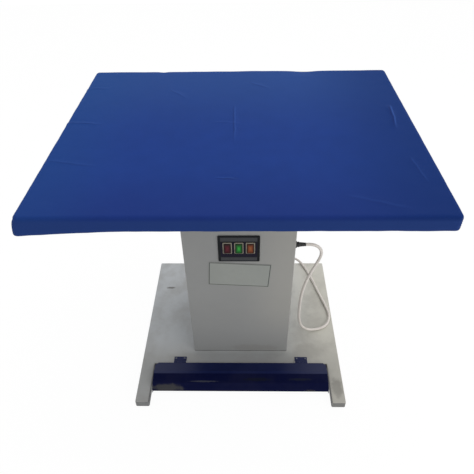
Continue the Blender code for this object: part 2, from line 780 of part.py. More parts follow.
def back_hole(x, z, low, high):
    return slab(circle(SCREW_RADIUS + FIT_GAP, SMALL_STEPS, (x, z)), low, high, TOWARDS_FRONT)


def make_pedestal(material):
    """A folded cabinet with flanges turned in at top and bottom and an open back."""
    wall, flange = PEDESTAL_WALL, PEDESTAL_FLANGE
    sections = [
        (pedestal_outline(0.0), PEDESTAL_BOTTOM),
        (pedestal_outline(0.0), PEDESTAL_TOP),
        (pedestal_outline(flange), PEDESTAL_TOP),
        (pedestal_outline(flange), PEDESTAL_TOP - wall),
        (pedestal_outline(wall), PEDESTAL_TOP - wall),
        (pedestal_outline(wall), PEDESTAL_BOTTOM + wall),
        (pedestal_outline(flange), PEDESTAL_BOTTOM + wall),
        (pedestal_outline(flange), PEDESTAL_BOTTOM),
    ]
    node = make_node("pedestal_body", loft(sections, ring=True), material)
    door_size = (PEDESTAL_WIDTH - 2 * (wall + RETURN_FLANGE), PEDESTAL_TOP - PEDESTAL_BOTTOM - 2 * flange)
    door = rectangle(*door_size, PEDESTAL_CORNER, 2, (0.0, PEDESTAL_MIDDLE_Z))
    window = rectangle(WINDOW_WIDTH, BEZEL_HEIGHT, PANEL_CORNER, 2, (0.0, SWITCH_ROW_Z))
    gland = circle(GLAND_NECK_RADIUS + FIT_GAP, SMALL_STEPS, (GLAND_Y, GLAND_Z))
    back_low, back_high = -PEDESTAL_BACK - CUT_OVERRUN, -PEDESTAL_BACK + wall + CUT_OVERRUN
    cutters = [
        slab(door, back_low, back_high, TOWARDS_FRONT),
        slab(window, -PEDESTAL_FRONT - wall - CUT_OVERRUN, -PEDESTAL_FRONT + CUT_OVERRUN, TOWARDS_FRONT),
        slab(gland, PEDESTAL_SIDE - wall - CUT_OVERRUN, PEDESTAL_SIDE + CUT_OVERRUN, ALONG_X),
    ]
    low, high = PEDESTAL_BOTTOM - CUT_OVERRUN, PEDESTAL_BOTTOM + wall + CUT_OVERRUN
    cutters += [hole(x, y, low, high, BOLT_RADIUS + FIT_GAP) for x, y in base_bolt_places()]
    cutters += [back_hole(x, z, back_low, back_high) for x, z in cover_screw_places()]
    return cut(node, cutters)


def make_back_cover(material):
    """The removable back panel, with pressed louvres in front of the blower's outlet."""
    skin = BACK_FACE + BACK_COVER_THICK
    margin = 2 * BACK_COVER_MARGIN
    outline = rectangle(
        PEDESTAL_WIDTH - margin, PEDESTAL_TOP - PEDESTAL_BOTTOM - margin, PEDESTAL_CORNER, 2, (0.0, PEDESTAL_MIDDLE_Z)
    )
    node = make_node("back_cover", slab(outline, -skin, -BACK_FACE, TOWARDS_FRONT), material)
    root = skin - BACK_COVER_THICK / 2
    mouth = skin + LOUVRE_REACH - 2 * LOUVRE_WALL
    slope_drop = 2 * LOUVRE_WALL * LOUVRE_HEIGHT / LOUVRE_REACH
    half = LOUVRE_WIDTH / 2
    hoods, throats = [], []
    for x in spread(LOUVRE_COLUMNS, LOUVRE_COLUMN_PITCH):
        for rise in spread(LOUVRE_ROWS, LOUVRE_PITCH):
            middle = BLOWER_BOTTOM + BLOWER_HEIGHT / 2 + rise
            low, high = middle - LOUVRE_HEIGHT / 2, middle + LOUVRE_HEIGHT / 2
            hood = [(root, low), (skin + LOUVRE_REACH, low), (root, high)]
            throat = [
                (BACK_FACE - CUT_OVERRUN, low + FIT_GAP), (skin + FIT_GAP, low + FIT_GAP),
                (skin + FIT_GAP, low - CUT_OVERRUN), (mouth, low - CUT_OVERRUN), (mouth, low),
                (skin, high - slope_drop), (BACK_FACE - CUT_OVERRUN, high - slope_drop),
            ]
            hoods.append(slab(hood, x - half, x + half, ALONG_X))
            throats.append(slab(throat, x - half + LOUVRE_WALL, x + half - LOUVRE_WALL, ALONG_X))
    fuse(node, hoods)
    holes = [back_hole(x, z, -skin - CUT_OVERRUN, -BACK_FACE + CUT_OVERRUN) for x, z in cover_screw_places()]
    return cut(node, throats + holes)


def make_cover_screws(material):
    head_face = BACK_FACE + BACK_COVER_THICK + FIT_GAP
    facing_back = Matrix.Rotation(-math.pi / 2, 4, "X")
    length = BACK_COVER_THICK + PEDESTAL_WALL + SCREW_TAIL
    for side, (x, z) in zip(("left", "right"), cover_screw_places()):
        make_node(f"cover_screw_{side}", screw(length, moved(x, head_face, z) @ facing_back), material, smooth=True)


# Base plate

def base_outline(inset):
    """The plate's outline with its notch, drawn in from the edge all round."""
    side, notch = BASE_WIDTH / 2 - inset, NOTCH_WIDTH / 2 + inset
    front, back, deep = BASE_FRONT + inset, BASE_BACK - inset, NOTCH_BACK + inset
    corners = [
        (-side, front), (-notch, front), (-notch, deep), (notch, deep), (notch, front), (side, front),
        (side, back), (-side, back),
    ]
    outer, inner = BASE_CORNER - inset, BASE_CORNER + inset
    radii = [outer, outer, inner, inner, outer, outer, outer, outer]
    return rounded_outline(corners, radii, 2)


def hinge_places():
    return spread(2, HINGE_SPREAD)


def hinge_screw_places():
    margin = 2 * SCREW_HEAD_RADIUS
    offset, y = LEAF_WIDTH / 2 - margin, PIN_Y + LEAF_DEPTH - margin
    return [(x + side * offset, y) for x in hinge_places() for side in (-1, 1)]


def make_base(material):
    """The base: a sheet tray turned down all round, with a lip turned in, a notch and weld nuts for the bolts."""
    low = STRIP_THICK + FIT_GAP
    sections = [
        (base_outline(BASE_SHEET), BASE_HEIGHT - BASE_SHEET),
        (base_outline(BASE_SHEET), low + BASE_SHEET),
        (base_outline(BASE_LIP), low + BASE_SHEET),
        (base_outline(BASE_LIP), low),
        (base_outline(0.0), low),
        (base_outline(0.0), BASE_HEIGHT - BASE_SHEET / 2),
        (base_outline(BASE_SHEET / 2), BASE_HEIGHT),
    ]
    node = make_node("base_plate", loft(sections), material)
    nut_low, nut_high = BASE_HEIGHT - BASE_SHEET - BOLT_HEAD, BASE_HEIGHT - BASE_SHEET / 2
    fuse(node, [slab(hexagon(BOLT_HEAD_RADIUS), nut_low, nut_high, moved(x, y, 0.0)) for x, y in base_bolt_places()])
    under, over = nut_low - CUT_OVERRUN, BASE_HEIGHT + CUT_OVERRUN
    cutters = [hole(x, y, under, over, BOLT_RADIUS + FIT_GAP) for x, y in base_bolt_places()]
    cutters += [hole(x, y, under, over, SCREW_RADIUS + FIT_GAP) for x, y in hinge_screw_places()]
    return cut(node, cutters)


def make_floor_strips(material):
    """Two rubber strips under the base, one along each side."""
    middle = BASE_WIDTH / 2 - BASE_LIP / 2
    length = BASE_DEPTH - 2 * BASE_LIP
    for side, x in (("left", -middle), ("right", middle)):
        outline = rectangle(STRIP_WIDTH, length, STRIP_WIDTH / 4, 1, (x, -BASE_SHIFT))
        make_node(f"floor_strip_{side}", slab(outline, 0.0, STRIP_THICK), material)


def make_base_bolts(material):
    under_head = PEDESTAL_BOTTOM + PEDESTAL_WALL + FIT_GAP
    length = PEDESTAL_WALL + BASE_SHEET + BOLT_HEAD + BOLT_TAIL
    names = ("left_front", "left_back", "right_front", "right_back")
    for name, (x, y) in zip(names, base_bolt_places()):
        make_node(f"base_bolt_{name}", bolt(x, y, under_head, length), material)


# Foot pedal and its hinges

def heading(rise):
    """In (y, z): the unit step to the front at this rise, and the one square to it, upwards."""
    return Vector((-math.cos(rise), math.sin(rise))), Vector((math.sin(rise), math.cos(rise)))


def pedal_path():
    """The middle line of the pedal's sheet in (y, z), from its back edge to the hem of its front lip."""
    along = heading(FLANGE_RISE)[0]
    pin = Vector((PIN_Y, PIN_Z))
    ridge = pin + along * PEDAL_FLANGE
    tread_end = ridge + heading(-TREAD_FALL)[0] * PEDAL_TREAD
    lip_end = tread_end + heading(-LIP_FALL)[0] * PEDAL_LIP
    return [pin + along * PEDAL_START, ridge, tread_end, lip_end, lip_end + Vector((PEDAL_HEM, 0.0))]


def knuckle(low, high, matrix):
    return slab(circle(KNUCKLE_RADIUS - FIT_GAP, SMALL_STEPS), low, high, matrix @ ALONG_X)


def pin_bore(matrix):
    over = LEAF_WIDTH / 2 + CUT_OVERRUN
    return slab(circle(HINGE_PIN_RADIUS + FIT_GAP, SMALL_STEPS), -over, over, matrix @ ALONG_X)


def make_pedal(material):
    """A folded treadle with side cheeks and a welded knuckle at each hinge."""
    path = pedal_path()
    start, ridge, tread_end, lip_end = path[:4]
    half = NOTCH_WIDTH / 2 - PEDAL_SIDE_GAP
    outline = sheet_outline([tuple(point) for point in path], PEDAL_SHEET, PEDAL_BEND)
    node = make_node("foot_pedal", slab(outline, -half, half, ALONG_X), material, (0.0, PIN_Y, PIN_Z))
    inset = PEDAL_SHEET / 4
    cheek = [tuple(point) for point in (start.lerp(ridge, CHEEK_START_SHARE), ridge, tread_end, lip_end)]
    cheeks = [slab(cheek, -half + inset, -half + inset + PEDAL_SHEET, ALONG_X)]
    cheeks.append(slab(cheek, half - inset - PEDAL_SHEET, half - inset, ALONG_X))
    deep = (start - ridge).length / 2
    mitres = []
    for side in (-1, 1):
        edge, y = side * (half + CUT_OVERRUN), start.x + CUT_OVERRUN
        outline = [(edge, y), (side * (half - PEDAL_MITRE), y), (edge, start.x - PEDAL_MITRE - CUT_OVERRUN)]
        mitres.append(slab(outline, start.y - deep, ridge.y + deep))
    fuse(node, cheeks)
    cut(node, mitres)
    span = LEAF_WIDTH * KNUCKLE_SHARE / 2
    thick = PEDAL_SHEET / 2 - FIT_GAP / 3
    tongue = [(0.0, -thick), (PEDAL_START * 2, -thick), (PEDAL_START * 2, thick), (0.0, thick)]
    rising = Matrix.Rotation(math.pi - FLANGE_RISE, 4, "X")
    frames = [moved(x, PIN_Y, PIN_Z) for x in hinge_places()]
    tongues = [slab(tongue, -span, span, frame @ rising @ ALONG_X) for frame in frames]
    fuse(node, tongues)
    fuse(node, [knuckle(-span, span, frame) for frame in frames])
    return cut(node, [pin_bore(frame) for frame in frames])


def make_hinge_leaves(material):
    """The leaf of each hinge that is screwed to the plate, with a knuckle at each end of the pin."""
    half, near = LEAF_WIDTH / 2, KNUCKLE_RADIUS + RUN_GAP
    inner = LEAF_WIDTH * KNUCKLE_SHARE / 2 + FIT_GAP
    outline = [
        (half, near), (half, LEAF_DEPTH), (-half, LEAF_DEPTH), (-half, near), (-half, 0.0), (-inner, 0.0),
        (-inner, near), (inner, near), (inner, 0.0), (half, 0.0),
    ]
    for name, x in zip(("left", "right"), hinge_places()):
        frame = moved(x, PIN_Y, PIN_Z)
        body = slab(outline, -KNUCKLE_RADIUS, -KNUCKLE_RADIUS + LEAF_THICK, frame)
        node = make_node(f"hinge_leaf_{name}", body, material)
        fuse(node, [knuckle(-half, -inner, frame), knuckle(inner, half, frame)])
        low, high = BASE_HEIGHT - CUT_OVERRUN, BASE_HEIGHT + LEAF_THICK + CUT_OVERRUN
        holes = [
            hole(screw_x, y, low, high, SCREW_RADIUS + FIT_GAP)
            for screw_x, y in hinge_screw_places()
            if abs(screw_x - x) < half
        ]
        cut(node, [pin_bore(frame), *holes])


def make_hinge_pins(material):
    half = LEAF_WIDTH / 2 + FIT_GAP
    profile = [
        (HINGE_PIN_HEAD_RADIUS, -half - HINGE_PIN_HEAD), (HINGE_PIN_HEAD_RADIUS, -half), (HINGE_PIN_RADIUS, -half),
        (HINGE_PIN_RADIUS, half), (HINGE_PIN_HEAD_RADIUS, half), (HINGE_PIN_HEAD_RADIUS, half + HINGE_PIN_HEAD),
    ]
    for name, x in zip(("left", "right"), hinge_places()):
        body = turned(profile, SMALL_STEPS, moved(x, PIN_Y, PIN_Z) @ ALONG_X)
        make_node(f"hinge_pin_{name}", body, material, (x, PIN_Y, PIN_Z), True)


def make_hinge_screws(material):
    head_face = BASE_HEIGHT + LEAF_THICK + 2 * FIT_GAP
    length = LEAF_THICK + BASE_SHEET + SCREW_TAIL
    names = ("left_outer", "left_inner", "right_inner", "right_outer")
    for name, (x, y) in zip(names, hinge_screw_places()):
        make_node(f"hinge_screw_{name}", screw(length, moved(x, y, head_face)), material, smooth=True)


# Bracket, springs and limit switch under the pedal

def make_bracket(material):
    """An angle welded to the notch's back wall, with an ear bent up beside the limit switch."""
    half = BRACKET_SHEET / 2
    back = NOTCH_BACK - FIT_GAP - half
    level = BRACKET_CLEAR + half
    path = [(back, BASE_HEIGHT - BRACKET_DROP), (back, level), (NOTCH_BACK - BRACKET_REACH, level)]
    outline = sheet_outline(path, BRACKET_SHEET, BRACKET_BEND)
    node = make_node("pedal_bracket", slab(outline, -BRACKET_WIDTH / 2, BRACKET_WIDTH / 2, ALONG_X), material)
    middle = (SWITCH_BACK - SWITCH_LENGTH / 2, level + SWITCH_HEIGHT / 2)
    ear = rectangle(SWITCH_LENGTH - 2 * EAR_SIZE, SWITCH_HEIGHT, EAR_THICK, 1, middle)
    near = SWITCH_PLACE + SWITCH_WIDTH / 2 + FIT_GAP
    return fuse(node, [slab(ear, near, near + EAR_THICK, ALONG_X)])


def tread_underside(y):
    """Height of the tread's lower face at a place in front of the ridge."""
    ridge = pedal_path()[1]
    return ridge.y - (ridge.x - y) * math.tan(TREAD_FALL) - PEDAL_SHEET / 2 / math.cos(TREAD_FALL)


def make_springs(material):
    """Two compression springs between bracket and tread, each one wound wire."""
    y = PIN_Y - SPRING_SETBACK
    low = BRACKET_TOP + FIT_GAP + SPRING_WIRE / 2
    high = tread_underside(y - SPRING_RADIUS) - FIT_GAP - SPRING_WIRE / 2
    steps = SPRING_TURNS * SPRING_TURN_STEPS
    radius = SPRING_RADIUS - SPRING_WIRE / 2
    for name, x in zip(("left", "right"), spread(2, SPRING_SPREAD)):
        points = []
        for step in range(steps + 1):
            angle = math.tau * step / SPRING_TURN_STEPS
            height = low + (high - low) * step / steps
            points.append((x + radius * math.cos(angle), y + radius * math.sin(angle), height))
        make_tube(f"pedal_spring_{name}", points, SPRING_WIRE, 0, material)
    gap = (high - low) / SPRING_TURNS - SPRING_WIRE
    print(f"pedal spring: least gap between turns {gap * 1000:.2f} mm, foot at {low - SPRING_WIRE / 2:.4f} m")


def lever_pivot():
    return Vector((SWITCH_BACK - EAR_SIZE / 2, SWITCH_TOP + EAR_SIZE / 2))


def lever_path():
    """Pivot, knee and tip of the switch's lever in (y, z). Its tip lies under the pedal's ridge."""
    pivot, ridge = lever_pivot(), pedal_path()[1]
    half_turn = (FLANGE_RISE + TREAD_FALL) / 2
    reach = (PEDAL_SHEET / 2 + LEVER_TIP_RADIUS + RUN_GAP) / math.cos(half_turn)
    tip = ridge - heading((FLANGE_RISE - TREAD_FALL) / 2)[1] * reach
    return [pivot, pivot + heading(LEVER_START_RISE)[0] * LEVER_START, tip]


def make_limit_switch(finishes):
    """Snap-action switch on the bracket, the lever that the pedal presses and the plunger under it."""
    pivot = lever_pivot()
    plunger_y = pivot.x - PLUNGER_PLACE
    middle = (SWITCH_PLACE, SWITCH_BACK - SWITCH_LENGTH / 2)
    body = rectangle(SWITCH_WIDTH, SWITCH_LENGTH, SWITCH_EDGE, 1, middle)
    node = make_node("limit_switch", slab(body, SWITCH_BOTTOM, SWITCH_TOP), finishes["black_plastic"])
    ears = []
    for side in (-1, 1):
        x = SWITCH_PLACE + side * (LEVER_WIDTH / 2 + FIT_GAP + EAR_THICK / 2)
        outline = rectangle(EAR_THICK, EAR_SIZE - SWITCH_EDGE, FIT_GAP, 1, (x, pivot.x))
        ears.append(slab(outline, SWITCH_TOP - EAR_THICK, SWITCH_TOP + EAR_SIZE))
    fuse(node, ears)
    start, end = SWITCH_PLACE - LEVER_WIDTH / 2, SWITCH_PLACE + LEVER_WIDTH / 2
    across = FIT_GAP + EAR_THICK
    pin_hole = circle(LEVER_PIN_RADIUS + FIT_GAP, SMALL_STEPS, tuple(pivot))
    bore = hole(SWITCH_PLACE, plunger_y, SWITCH_TOP - PLUNGER_DEPTH, SWITCH_TOP + CUT_OVERRUN,
                PLUNGER_RADIUS + FIT_GAP)
    cut(node, [slab(pin_hole, start - across - CUT_OVERRUN, end + across + CUT_OVERRUN, ALONG_X), bore])

    strip = sheet_outline([tuple(point) for point in lever_path()], LEVER_THICK, LEVER_THICK)
    origin = (SWITCH_PLACE, *pivot)
    lever = make_node("switch_lever", slab(strip, start, end, ALONG_X), finishes["steel"], origin)
    pin = slab(circle(LEVER_PIN_RADIUS, SMALL_STEPS, tuple(pivot)), start - across, end + across, ALONG_X)
    edge = LEVER_THICK / 4
    tip = slab(circle(LEVER_TIP_RADIUS, SMALL_STEPS, tuple(lever_path()[-1])), start + edge, end - edge, ALONG_X)
    fuse(lever, [pin, tip])

    under = (PLUNGER_PLACE - PLUNGER_RADIUS) * math.tan(LEVER_START_RISE)
    top = pivot.y + under - LEVER_THICK / 2 / math.cos(LEVER_START_RISE) - FIT_GAP
    profile = [(PLUNGER_RADIUS, SWITCH_TOP - PLUNGER_DEPTH + PLUNGER_FOOT), (PLUNGER_RADIUS, top)]
    place = (SWITCH_PLACE, plunger_y, SWITCH_TOP)
    body = turned(profile, SMALL_STEPS, moved(SWITCH_PLACE, plunger_y, 0.0))
    make_node("switch_plunger", body, finishes["beige_plastic"], place, True)


# Control panel, switches and name plate

def make_panel(material):
    """A dark plate with a raised border and a cut-out for each switch."""
    middle = (0.0, PANEL_Z)
    outer = rectangle(PANEL_WIDTH, PANEL_HEIGHT, PANEL_CORNER, 2, middle)
    inner = rectangle(PANEL_WIDTH - 2 * PANEL_RIM, PANEL_HEIGHT - 2 * PANEL_RIM, PANEL_CORNER / 2, 2, middle)
    face = PANEL_BACK + PANEL_THICK
    sections = [(outer, PANEL_BACK), (outer, face + PANEL_RIM_RAISE), (inner, face + PANEL_RIM_RAISE), (inner, face)]
    node = make_node("control_panel", loft(sections, TOWARDS_FRONT), material)
    inset = 2 * (HOUSING_INSET - FIT_GAP)
    windows = [
        slab(rectangle(BEZEL_WIDTH - inset, BEZEL_HEIGHT - inset, BEZEL_CORNER / 2, 1, (x, SWITCH_ROW_Z)),
             PANEL_BACK - CUT_OVERRUN, face + CUT_OVERRUN, TOWARDS_FRONT)
        for x in spread(3, SWITCH_PITCH)
    ]
    return cut(node, windows)


def rocker_outline():
    """Side view of a rocker about its pivot, as (front, up): a shallow V in front, round ends and a flat back."""
    radius = BEZEL_HEIGHT / 2 - BEZEL_RIM - ROCKER_END_GAP
    slope = math.tan(ROCKER_TILT)
    square, linear = 1 + slope**2, 2 * slope * ROCKER_MIDDLE
    rise = (math.sqrt(linear**2 - 4 * square * (ROCKER_MIDDLE**2 - radius**2)) - linear) / (2 * square)
    end_angle = math.atan2(ROCKER_MIDDLE + rise * slope, rise)
    upper = [(ROCKER_MIDDLE, 0.0)]
    for step in range(EDGE_STEPS + 1):
        angle = end_angle - (end_angle + ROCKER_BACK_ANGLE) * step / EDGE_STEPS
        upper.append((radius * math.sin(angle), radius * math.cos(angle)))
    return upper + [(front, -up) for front, up in upper[:0:-1]]


def make_housing(name, x, material):
    """A switch housing: a flanged box with its mouth to the front."""
    middle = (x, SWITCH_ROW_Z)
    body = rectangle(BEZEL_WIDTH - 2 * HOUSING_INSET, BEZEL_HEIGHT - 2 * HOUSING_INSET, BEZEL_CORNER / 2, 1, middle)
    bezel = rectangle(BEZEL_WIDTH, BEZEL_HEIGHT, BEZEL_CORNER, 1, middle)
    crown = rectangle(BEZEL_WIDTH - 2 * BEZEL_EDGE, BEZEL_HEIGHT - 2 * BEZEL_EDGE, BEZEL_CORNER, 1, middle)
    mouth = rectangle(BEZEL_WIDTH - 2 * BEZEL_RIM, BEZEL_HEIGHT - 2 * BEZEL_RIM, BEZEL_CORNER / 2, 1, middle)
    front = PANEL_FACE + BEZEL_THICK
    sections = [
        (body, PANEL_FACE - HOUSING_DEPTH),
        (body, PANEL_FACE),
        (bezel, PANEL_FACE),
        (bezel, front - BEZEL_EDGE),
        (crown, front),
        (mouth, front),
        (mouth, PANEL_FACE - HOUSING_DEPTH + HOUSING_FLOOR),
    ]
    return make_node(name, loft(sections, TOWARDS_FRONT), material)


def make_switches(finishes):
    """Three lit rocker switches. Each rests with the upper half of its rocker flush."""
    width = BEZEL_WIDTH - 2 * BEZEL_RIM - 2 * RUN_GAP
    sideways = Matrix(((0, 0, 1, 0), (-1, 0, 0, 0), (0, 1, 0, 0), (0, 0, 0, 1)))
    tilt = Matrix.Rotation(-ROCKER_TILT, 4, "X")
    lenses = ("red_lens", "green_lens", "amber_lens")
    for name, x, lens in zip(("mains", "suction", "heater"), spread(3, SWITCH_PITCH), lenses):
        make_housing(f"{name}_switch_housing", x, finishes["beige_plastic"])
        pivot = (x, -ROCKER_PIVOT, SWITCH_ROW_Z)
        body = slab(rocker_outline(), -width / 2, width / 2, moved(*pivot) @ tilt @ sideways)
        make_node(f"{name}_rocker", body, finishes[lens], pivot, True)


def make_name_plate(material):
    outline = rectangle(PLATE_WIDTH, PLATE_HEIGHT, PLATE_CORNER, 1)
    frame = moved(0.0, 0.0, PLATE_Z) @ Matrix.Rotation(PLATE_TILT, 4, "Y") @ TOWARDS_FRONT
    return make_node("name_plate", slab(outline, PANEL_BACK, PANEL_BACK + PLATE_THICK, frame), material)


# Blower, motor and duct

def make_shelf(material):
    """A shelf across the cabinet, turned down at its sides, with the motor hung under it."""
    half = SHELF_SHEET / 2
    side = PEDESTAL_SIDE - PEDESTAL_WALL - FIT_GAP - half
    top = SHELF_Z - half
    path = [(-side, top - SHELF_SKIRT), (-side, top), (side, top), (side, top - SHELF_SKIRT)]
    body = slab(sheet_outline(path, SHELF_SHEET, SHELF_SHEET), -SHELF_DEPTH / 2, SHELF_DEPTH / 2, TOWARDS_FRONT)
    node = make_node("motor_shelf", body, material)
    low, high = SHELF_Z - SHELF_SHEET - CUT_OVERRUN, SHELF_Z + CUT_OVERRUN
    return cut(node, [hole(0.0, 0.0, low, high, SPIGOT_RADIUS + FIT_GAP, ROUND_STEPS)])


def scroll_outline(inset, overrun):
    """Plan of the scroll: a growing spiral that leaves to the back along a straight outlet."""
    points = []
    for step in range(SCROLL_STEPS + 1):
        angle = TONGUE_ANGLE + (math.tau - TONGUE_ANGLE) * step / SCROLL_STEPS
        radius = SCROLL_START + SCROLL_GROWTH * angle / math.tau - inset
        points.append((radius * math.cos(angle), radius * math.sin(angle)))
    tongue = (SCROLL_START + SCROLL_GROWTH * TONGUE_ANGLE / math.tau) * math.cos(TONGUE_ANGLE)
    if inset:
        tongue += TONGUE_WALL
        points[0] = (tongue, points[0][1])
    return points + [(SCROLL_REACH - inset, OUTLET_Y + overrun), (tongue, OUTLET_Y + overrun)]


def make_blower(finishes):
    """Scroll housing with its outlet open to the back, and the inlet ring on top."""
    wall = BLOWER_WALL
    body = slab(scroll_outline(0.0, 0.0), BLOWER_BOTTOM, BLOWER_TOP)
    node = make_node("blower_housing", body, finishes["cabinet_paint"])
    cut(node, [slab(scroll_outline(wall, CUT_OVERRUN), BLOWER_BOTTOM + wall, BLOWER_TOP - wall)])
    eye = hole(0.0, 0.0, BLOWER_TOP - wall - CUT_OVERRUN, BLOWER_TOP + CUT_OVERRUN, COLLAR_OUTER + FIT_GAP, ROUND_STEPS)
    spigot = hole(0.0, 0.0, BLOWER_BOTTOM - CUT_OVERRUN, BLOWER_BOTTOM + wall + CUT_OVERRUN,
                  SPIGOT_RADIUS + FIT_GAP, ROUND_STEPS)
    cut(node, [eye, spigot])
    flange, throat = COLLAR_OUTER + COLLAR_FLANGE, SHROUD_TOP + THROAT_GAP
    profile = [
        (COLLAR_BORE_RADIUS, RING_HIGH + COLLAR_LENGTH), (COLLAR_OUTER, RING_HIGH + COLLAR_LENGTH),
        (COLLAR_OUTER, RING_HIGH), (flange, RING_HIGH), (flange, RING_LOW), (COLLAR_OUTER, RING_LOW),
        (EYE_RADIUS, throat), (EYE_RADIUS - COLLAR_WALL, throat), (COLLAR_BORE_RADIUS, RING_LOW),
    ]
    make_node("inlet_ring", turned(profile, ring=True), finishes["zinc"], smooth=True)


def blade(angle):
    """Plan outline of one backward-curved blade."""
    inner, outer = EYE_RADIUS - IMPELLER_SHEET, IMPELLER_RADIUS - IMPELLER_SHEET
    path = []
    for step in range(BLADE_STEPS + 1):
        radius = inner + (outer - inner) * step / BLADE_STEPS
        turn = angle - BLADE_SWEEP * step / BLADE_STEPS
        path.append(Vector((radius * math.cos(turn), radius * math.sin(turn))))
    sides = ([], [])
    for index, point in enumerate(path):
        ahead = (path[min(index + 1, BLADE_STEPS)] - path[max(index - 1, 0)]).normalized()
        across = Vector((-ahead.y, ahead.x)) * (IMPELLER_SHEET / 2)
        sides[0].append(tuple(point - across))
        sides[1].append(tuple(point + across))
    return sides[0] + sides[1][::-1]


def make_impeller(finishes):
    """A closed impeller: back disc with hub, curved blades and a front ring round its eye."""
    bore = SHAFT_RADIUS + FIT_GAP
    disc = [
        (bore, DISC_BOTTOM), (IMPELLER_RADIUS, DISC_BOTTOM), (IMPELLER_RADIUS, DISC_TOP), (HUB_RADIUS, DISC_TOP),
        (HUB_RADIUS, HUB_TOP), (bore, HUB_TOP),
    ]
    centre = (0.0, 0.0, DISC_BOTTOM)
    node = make_node("impeller", turned(disc, ring=True), finishes["aluminium"], centre)
    bite = IMPELLER_SHEET / 2
    blades = [
        slab(blade(math.tau * index / BLADE_COUNT), DISC_TOP - bite, SHROUD_BOTTOM + bite)
        for index in range(BLADE_COUNT)
    ]
    fuse(node, blades)
    fuse(node, [tube_ring(EYE_RADIUS, IMPELLER_RADIUS, SHROUD_BOTTOM, SHROUD_TOP)])
    nut = hex_nut(SHAFT_NUT_RADIUS, SHAFT_RADIUS, HUB_TOP + FIT_GAP, HUB_TOP + FIT_GAP + SHAFT_NUT_HEIGHT)
    make_node("impeller_nut", nut, finishes["zinc"], centre)
    profile = [(SHAFT_RADIUS, SHIELD_BOTTOM - SHAFT_TAIL), (SHAFT_RADIUS, HUB_TOP + SHAFT_THREAD)]
    make_node("motor_shaft", turned(profile, SMALL_STEPS), finishes["steel"], centre, True)


def make_motor(finishes):
    """Flange motor under the shelf: end shield, finned stator and fan cowl."""
    bore, spigot_top = SHAFT_RADIUS + RUN_GAP, BLOWER_BOTTOM + BLOWER_WALL
    shield = [
        (bore, spigot_top), (SPIGOT_RADIUS, spigot_top), (SPIGOT_RADIUS, SHIELD_TOP), (SHIELD_RADIUS, SHIELD_TOP),
        (SHIELD_RADIUS, SHIELD_BOTTOM), (bore, SHIELD_BOTTOM),
    ]
    make_node("motor_end_shield", turned(shield, ring=True), finishes["aluminium"], smooth=True)
    finned = []
    for index in range(FIN_COUNT):
        for share, reach in zip(FIN_SHARES, (0.0, FIN_HEIGHT, FIN_HEIGHT, 0.0)):
            angle = math.tau * (index + share) / FIN_COUNT
            radius = STATOR_RADIUS - FIN_HEIGHT + reach
            finned.append((radius * math.cos(angle), radius * math.sin(angle)))
    pocket = circle(bore, len(finned))
    sections = [
        (finned, STATOR_BOTTOM), (finned, STATOR_TOP), (pocket, STATOR_TOP), (pocket, STATOR_TOP - BEARING_DEPTH)
    ]
    make_node("motor_stator", loft(sections), finishes["aluminium"])
    top = STATOR_BOTTOM - FIT_GAP
    low = top - COWL_LENGTH
    cowl = [
        (STATOR_RADIUS, top), (STATOR_RADIUS, low + COWL_ROUND), (STATOR_RADIUS - COWL_ROUND / 3, low + COWL_ROUND / 3),
        (STATOR_RADIUS - COWL_ROUND, low),
    ]
    make_node("motor_fan_cowl", turned(cowl), finishes["black_plastic"], smooth=True)


def make_duct(material):
    """The duct from the tray's collar down to the blower's inlet, a push fit on both."""
    body = tube_ring(DUCT_BORE, DUCT_OUTER, DUCT_BOTTOM, DUCT_TOP)
    return make_node("suction_duct", body, material, smooth=True)


# Gland, cord and plug

def make_gland(finishes):
    """The gland in the cabinet's side: hexagon, dome and a taper round the cord, with its locknut inside."""
    frame = moved(0.0, GLAND_Y, GLAND_Z) @ ALONG_X
    dome = GLAND_OUT + GLAND_HEX + GLAND_DOME
    sections = [
        (circle(GLAND_NECK_RADIUS, SMALL_STEPS), GLAND_OUT - GLAND_NECK),
        (circle(GLAND_NECK_RADIUS, SMALL_STEPS), GLAND_OUT),
        (hexagon(GLAND_HEX_RADIUS), GLAND_OUT),
        (hexagon(GLAND_HEX_RADIUS), GLAND_OUT + GLAND_HEX),
        (circle(GLAND_DOME_RADIUS, SMALL_STEPS), GLAND_OUT + GLAND_HEX),
        (circle(GLAND_DOME_RADIUS, SMALL_STEPS), dome),
        (circle(GLAND_TIP_RADIUS, SMALL_STEPS), GLAND_END),
    ]
    make_node("cable_gland", loft(sections, frame), finishes["black_plastic"])
    inside = PEDESTAL_SIDE - PEDESTAL_WALL - FIT_GAP
    nut = hex_nut(GLAND_HEX_RADIUS, GLAND_NECK_RADIUS, inside - LOCKNUT, inside, frame)
    make_node("gland_locknut", nut, finishes["black_plastic"])


def smooth_route(knots):
    """Points at an even spacing along a smooth curve through the knots, with a straight run at each end."""
    fine = []
    for before, start, end, after in zip(knots, knots[1:], knots[2:], knots[3:]):
        for step in range(SMALL_STEPS):
            along = step / SMALL_STEPS
            square, cube = along**2, along**3
            fine.append(0.5 * (
                2 * start + (end - before) * along + (2 * before - 5 * start + 4 * end - after) * square
                + (3 * start - before - 3 * end + after) * cube
            ))
    fine.append(knots[-2])
    travelled = [0.0]
    for first, second in zip(fine, fine[1:]):
        travelled.append(travelled[-1] + (second - first).length)
    count = round(travelled[-1] / CORD_SPACING)
    points, index = [knots[0]], 0
    for step in range(count + 1):
        target = travelled[-1] * step / count
        while index < len(fine) - 2 and travelled[index + 1] < target:
            index += 1
        share = (target - travelled[index]) / (travelled[index + 1] - travelled[index])
        points.append(fine[index].lerp(fine[index + 1], share))
    return [*points, knots[-1]]


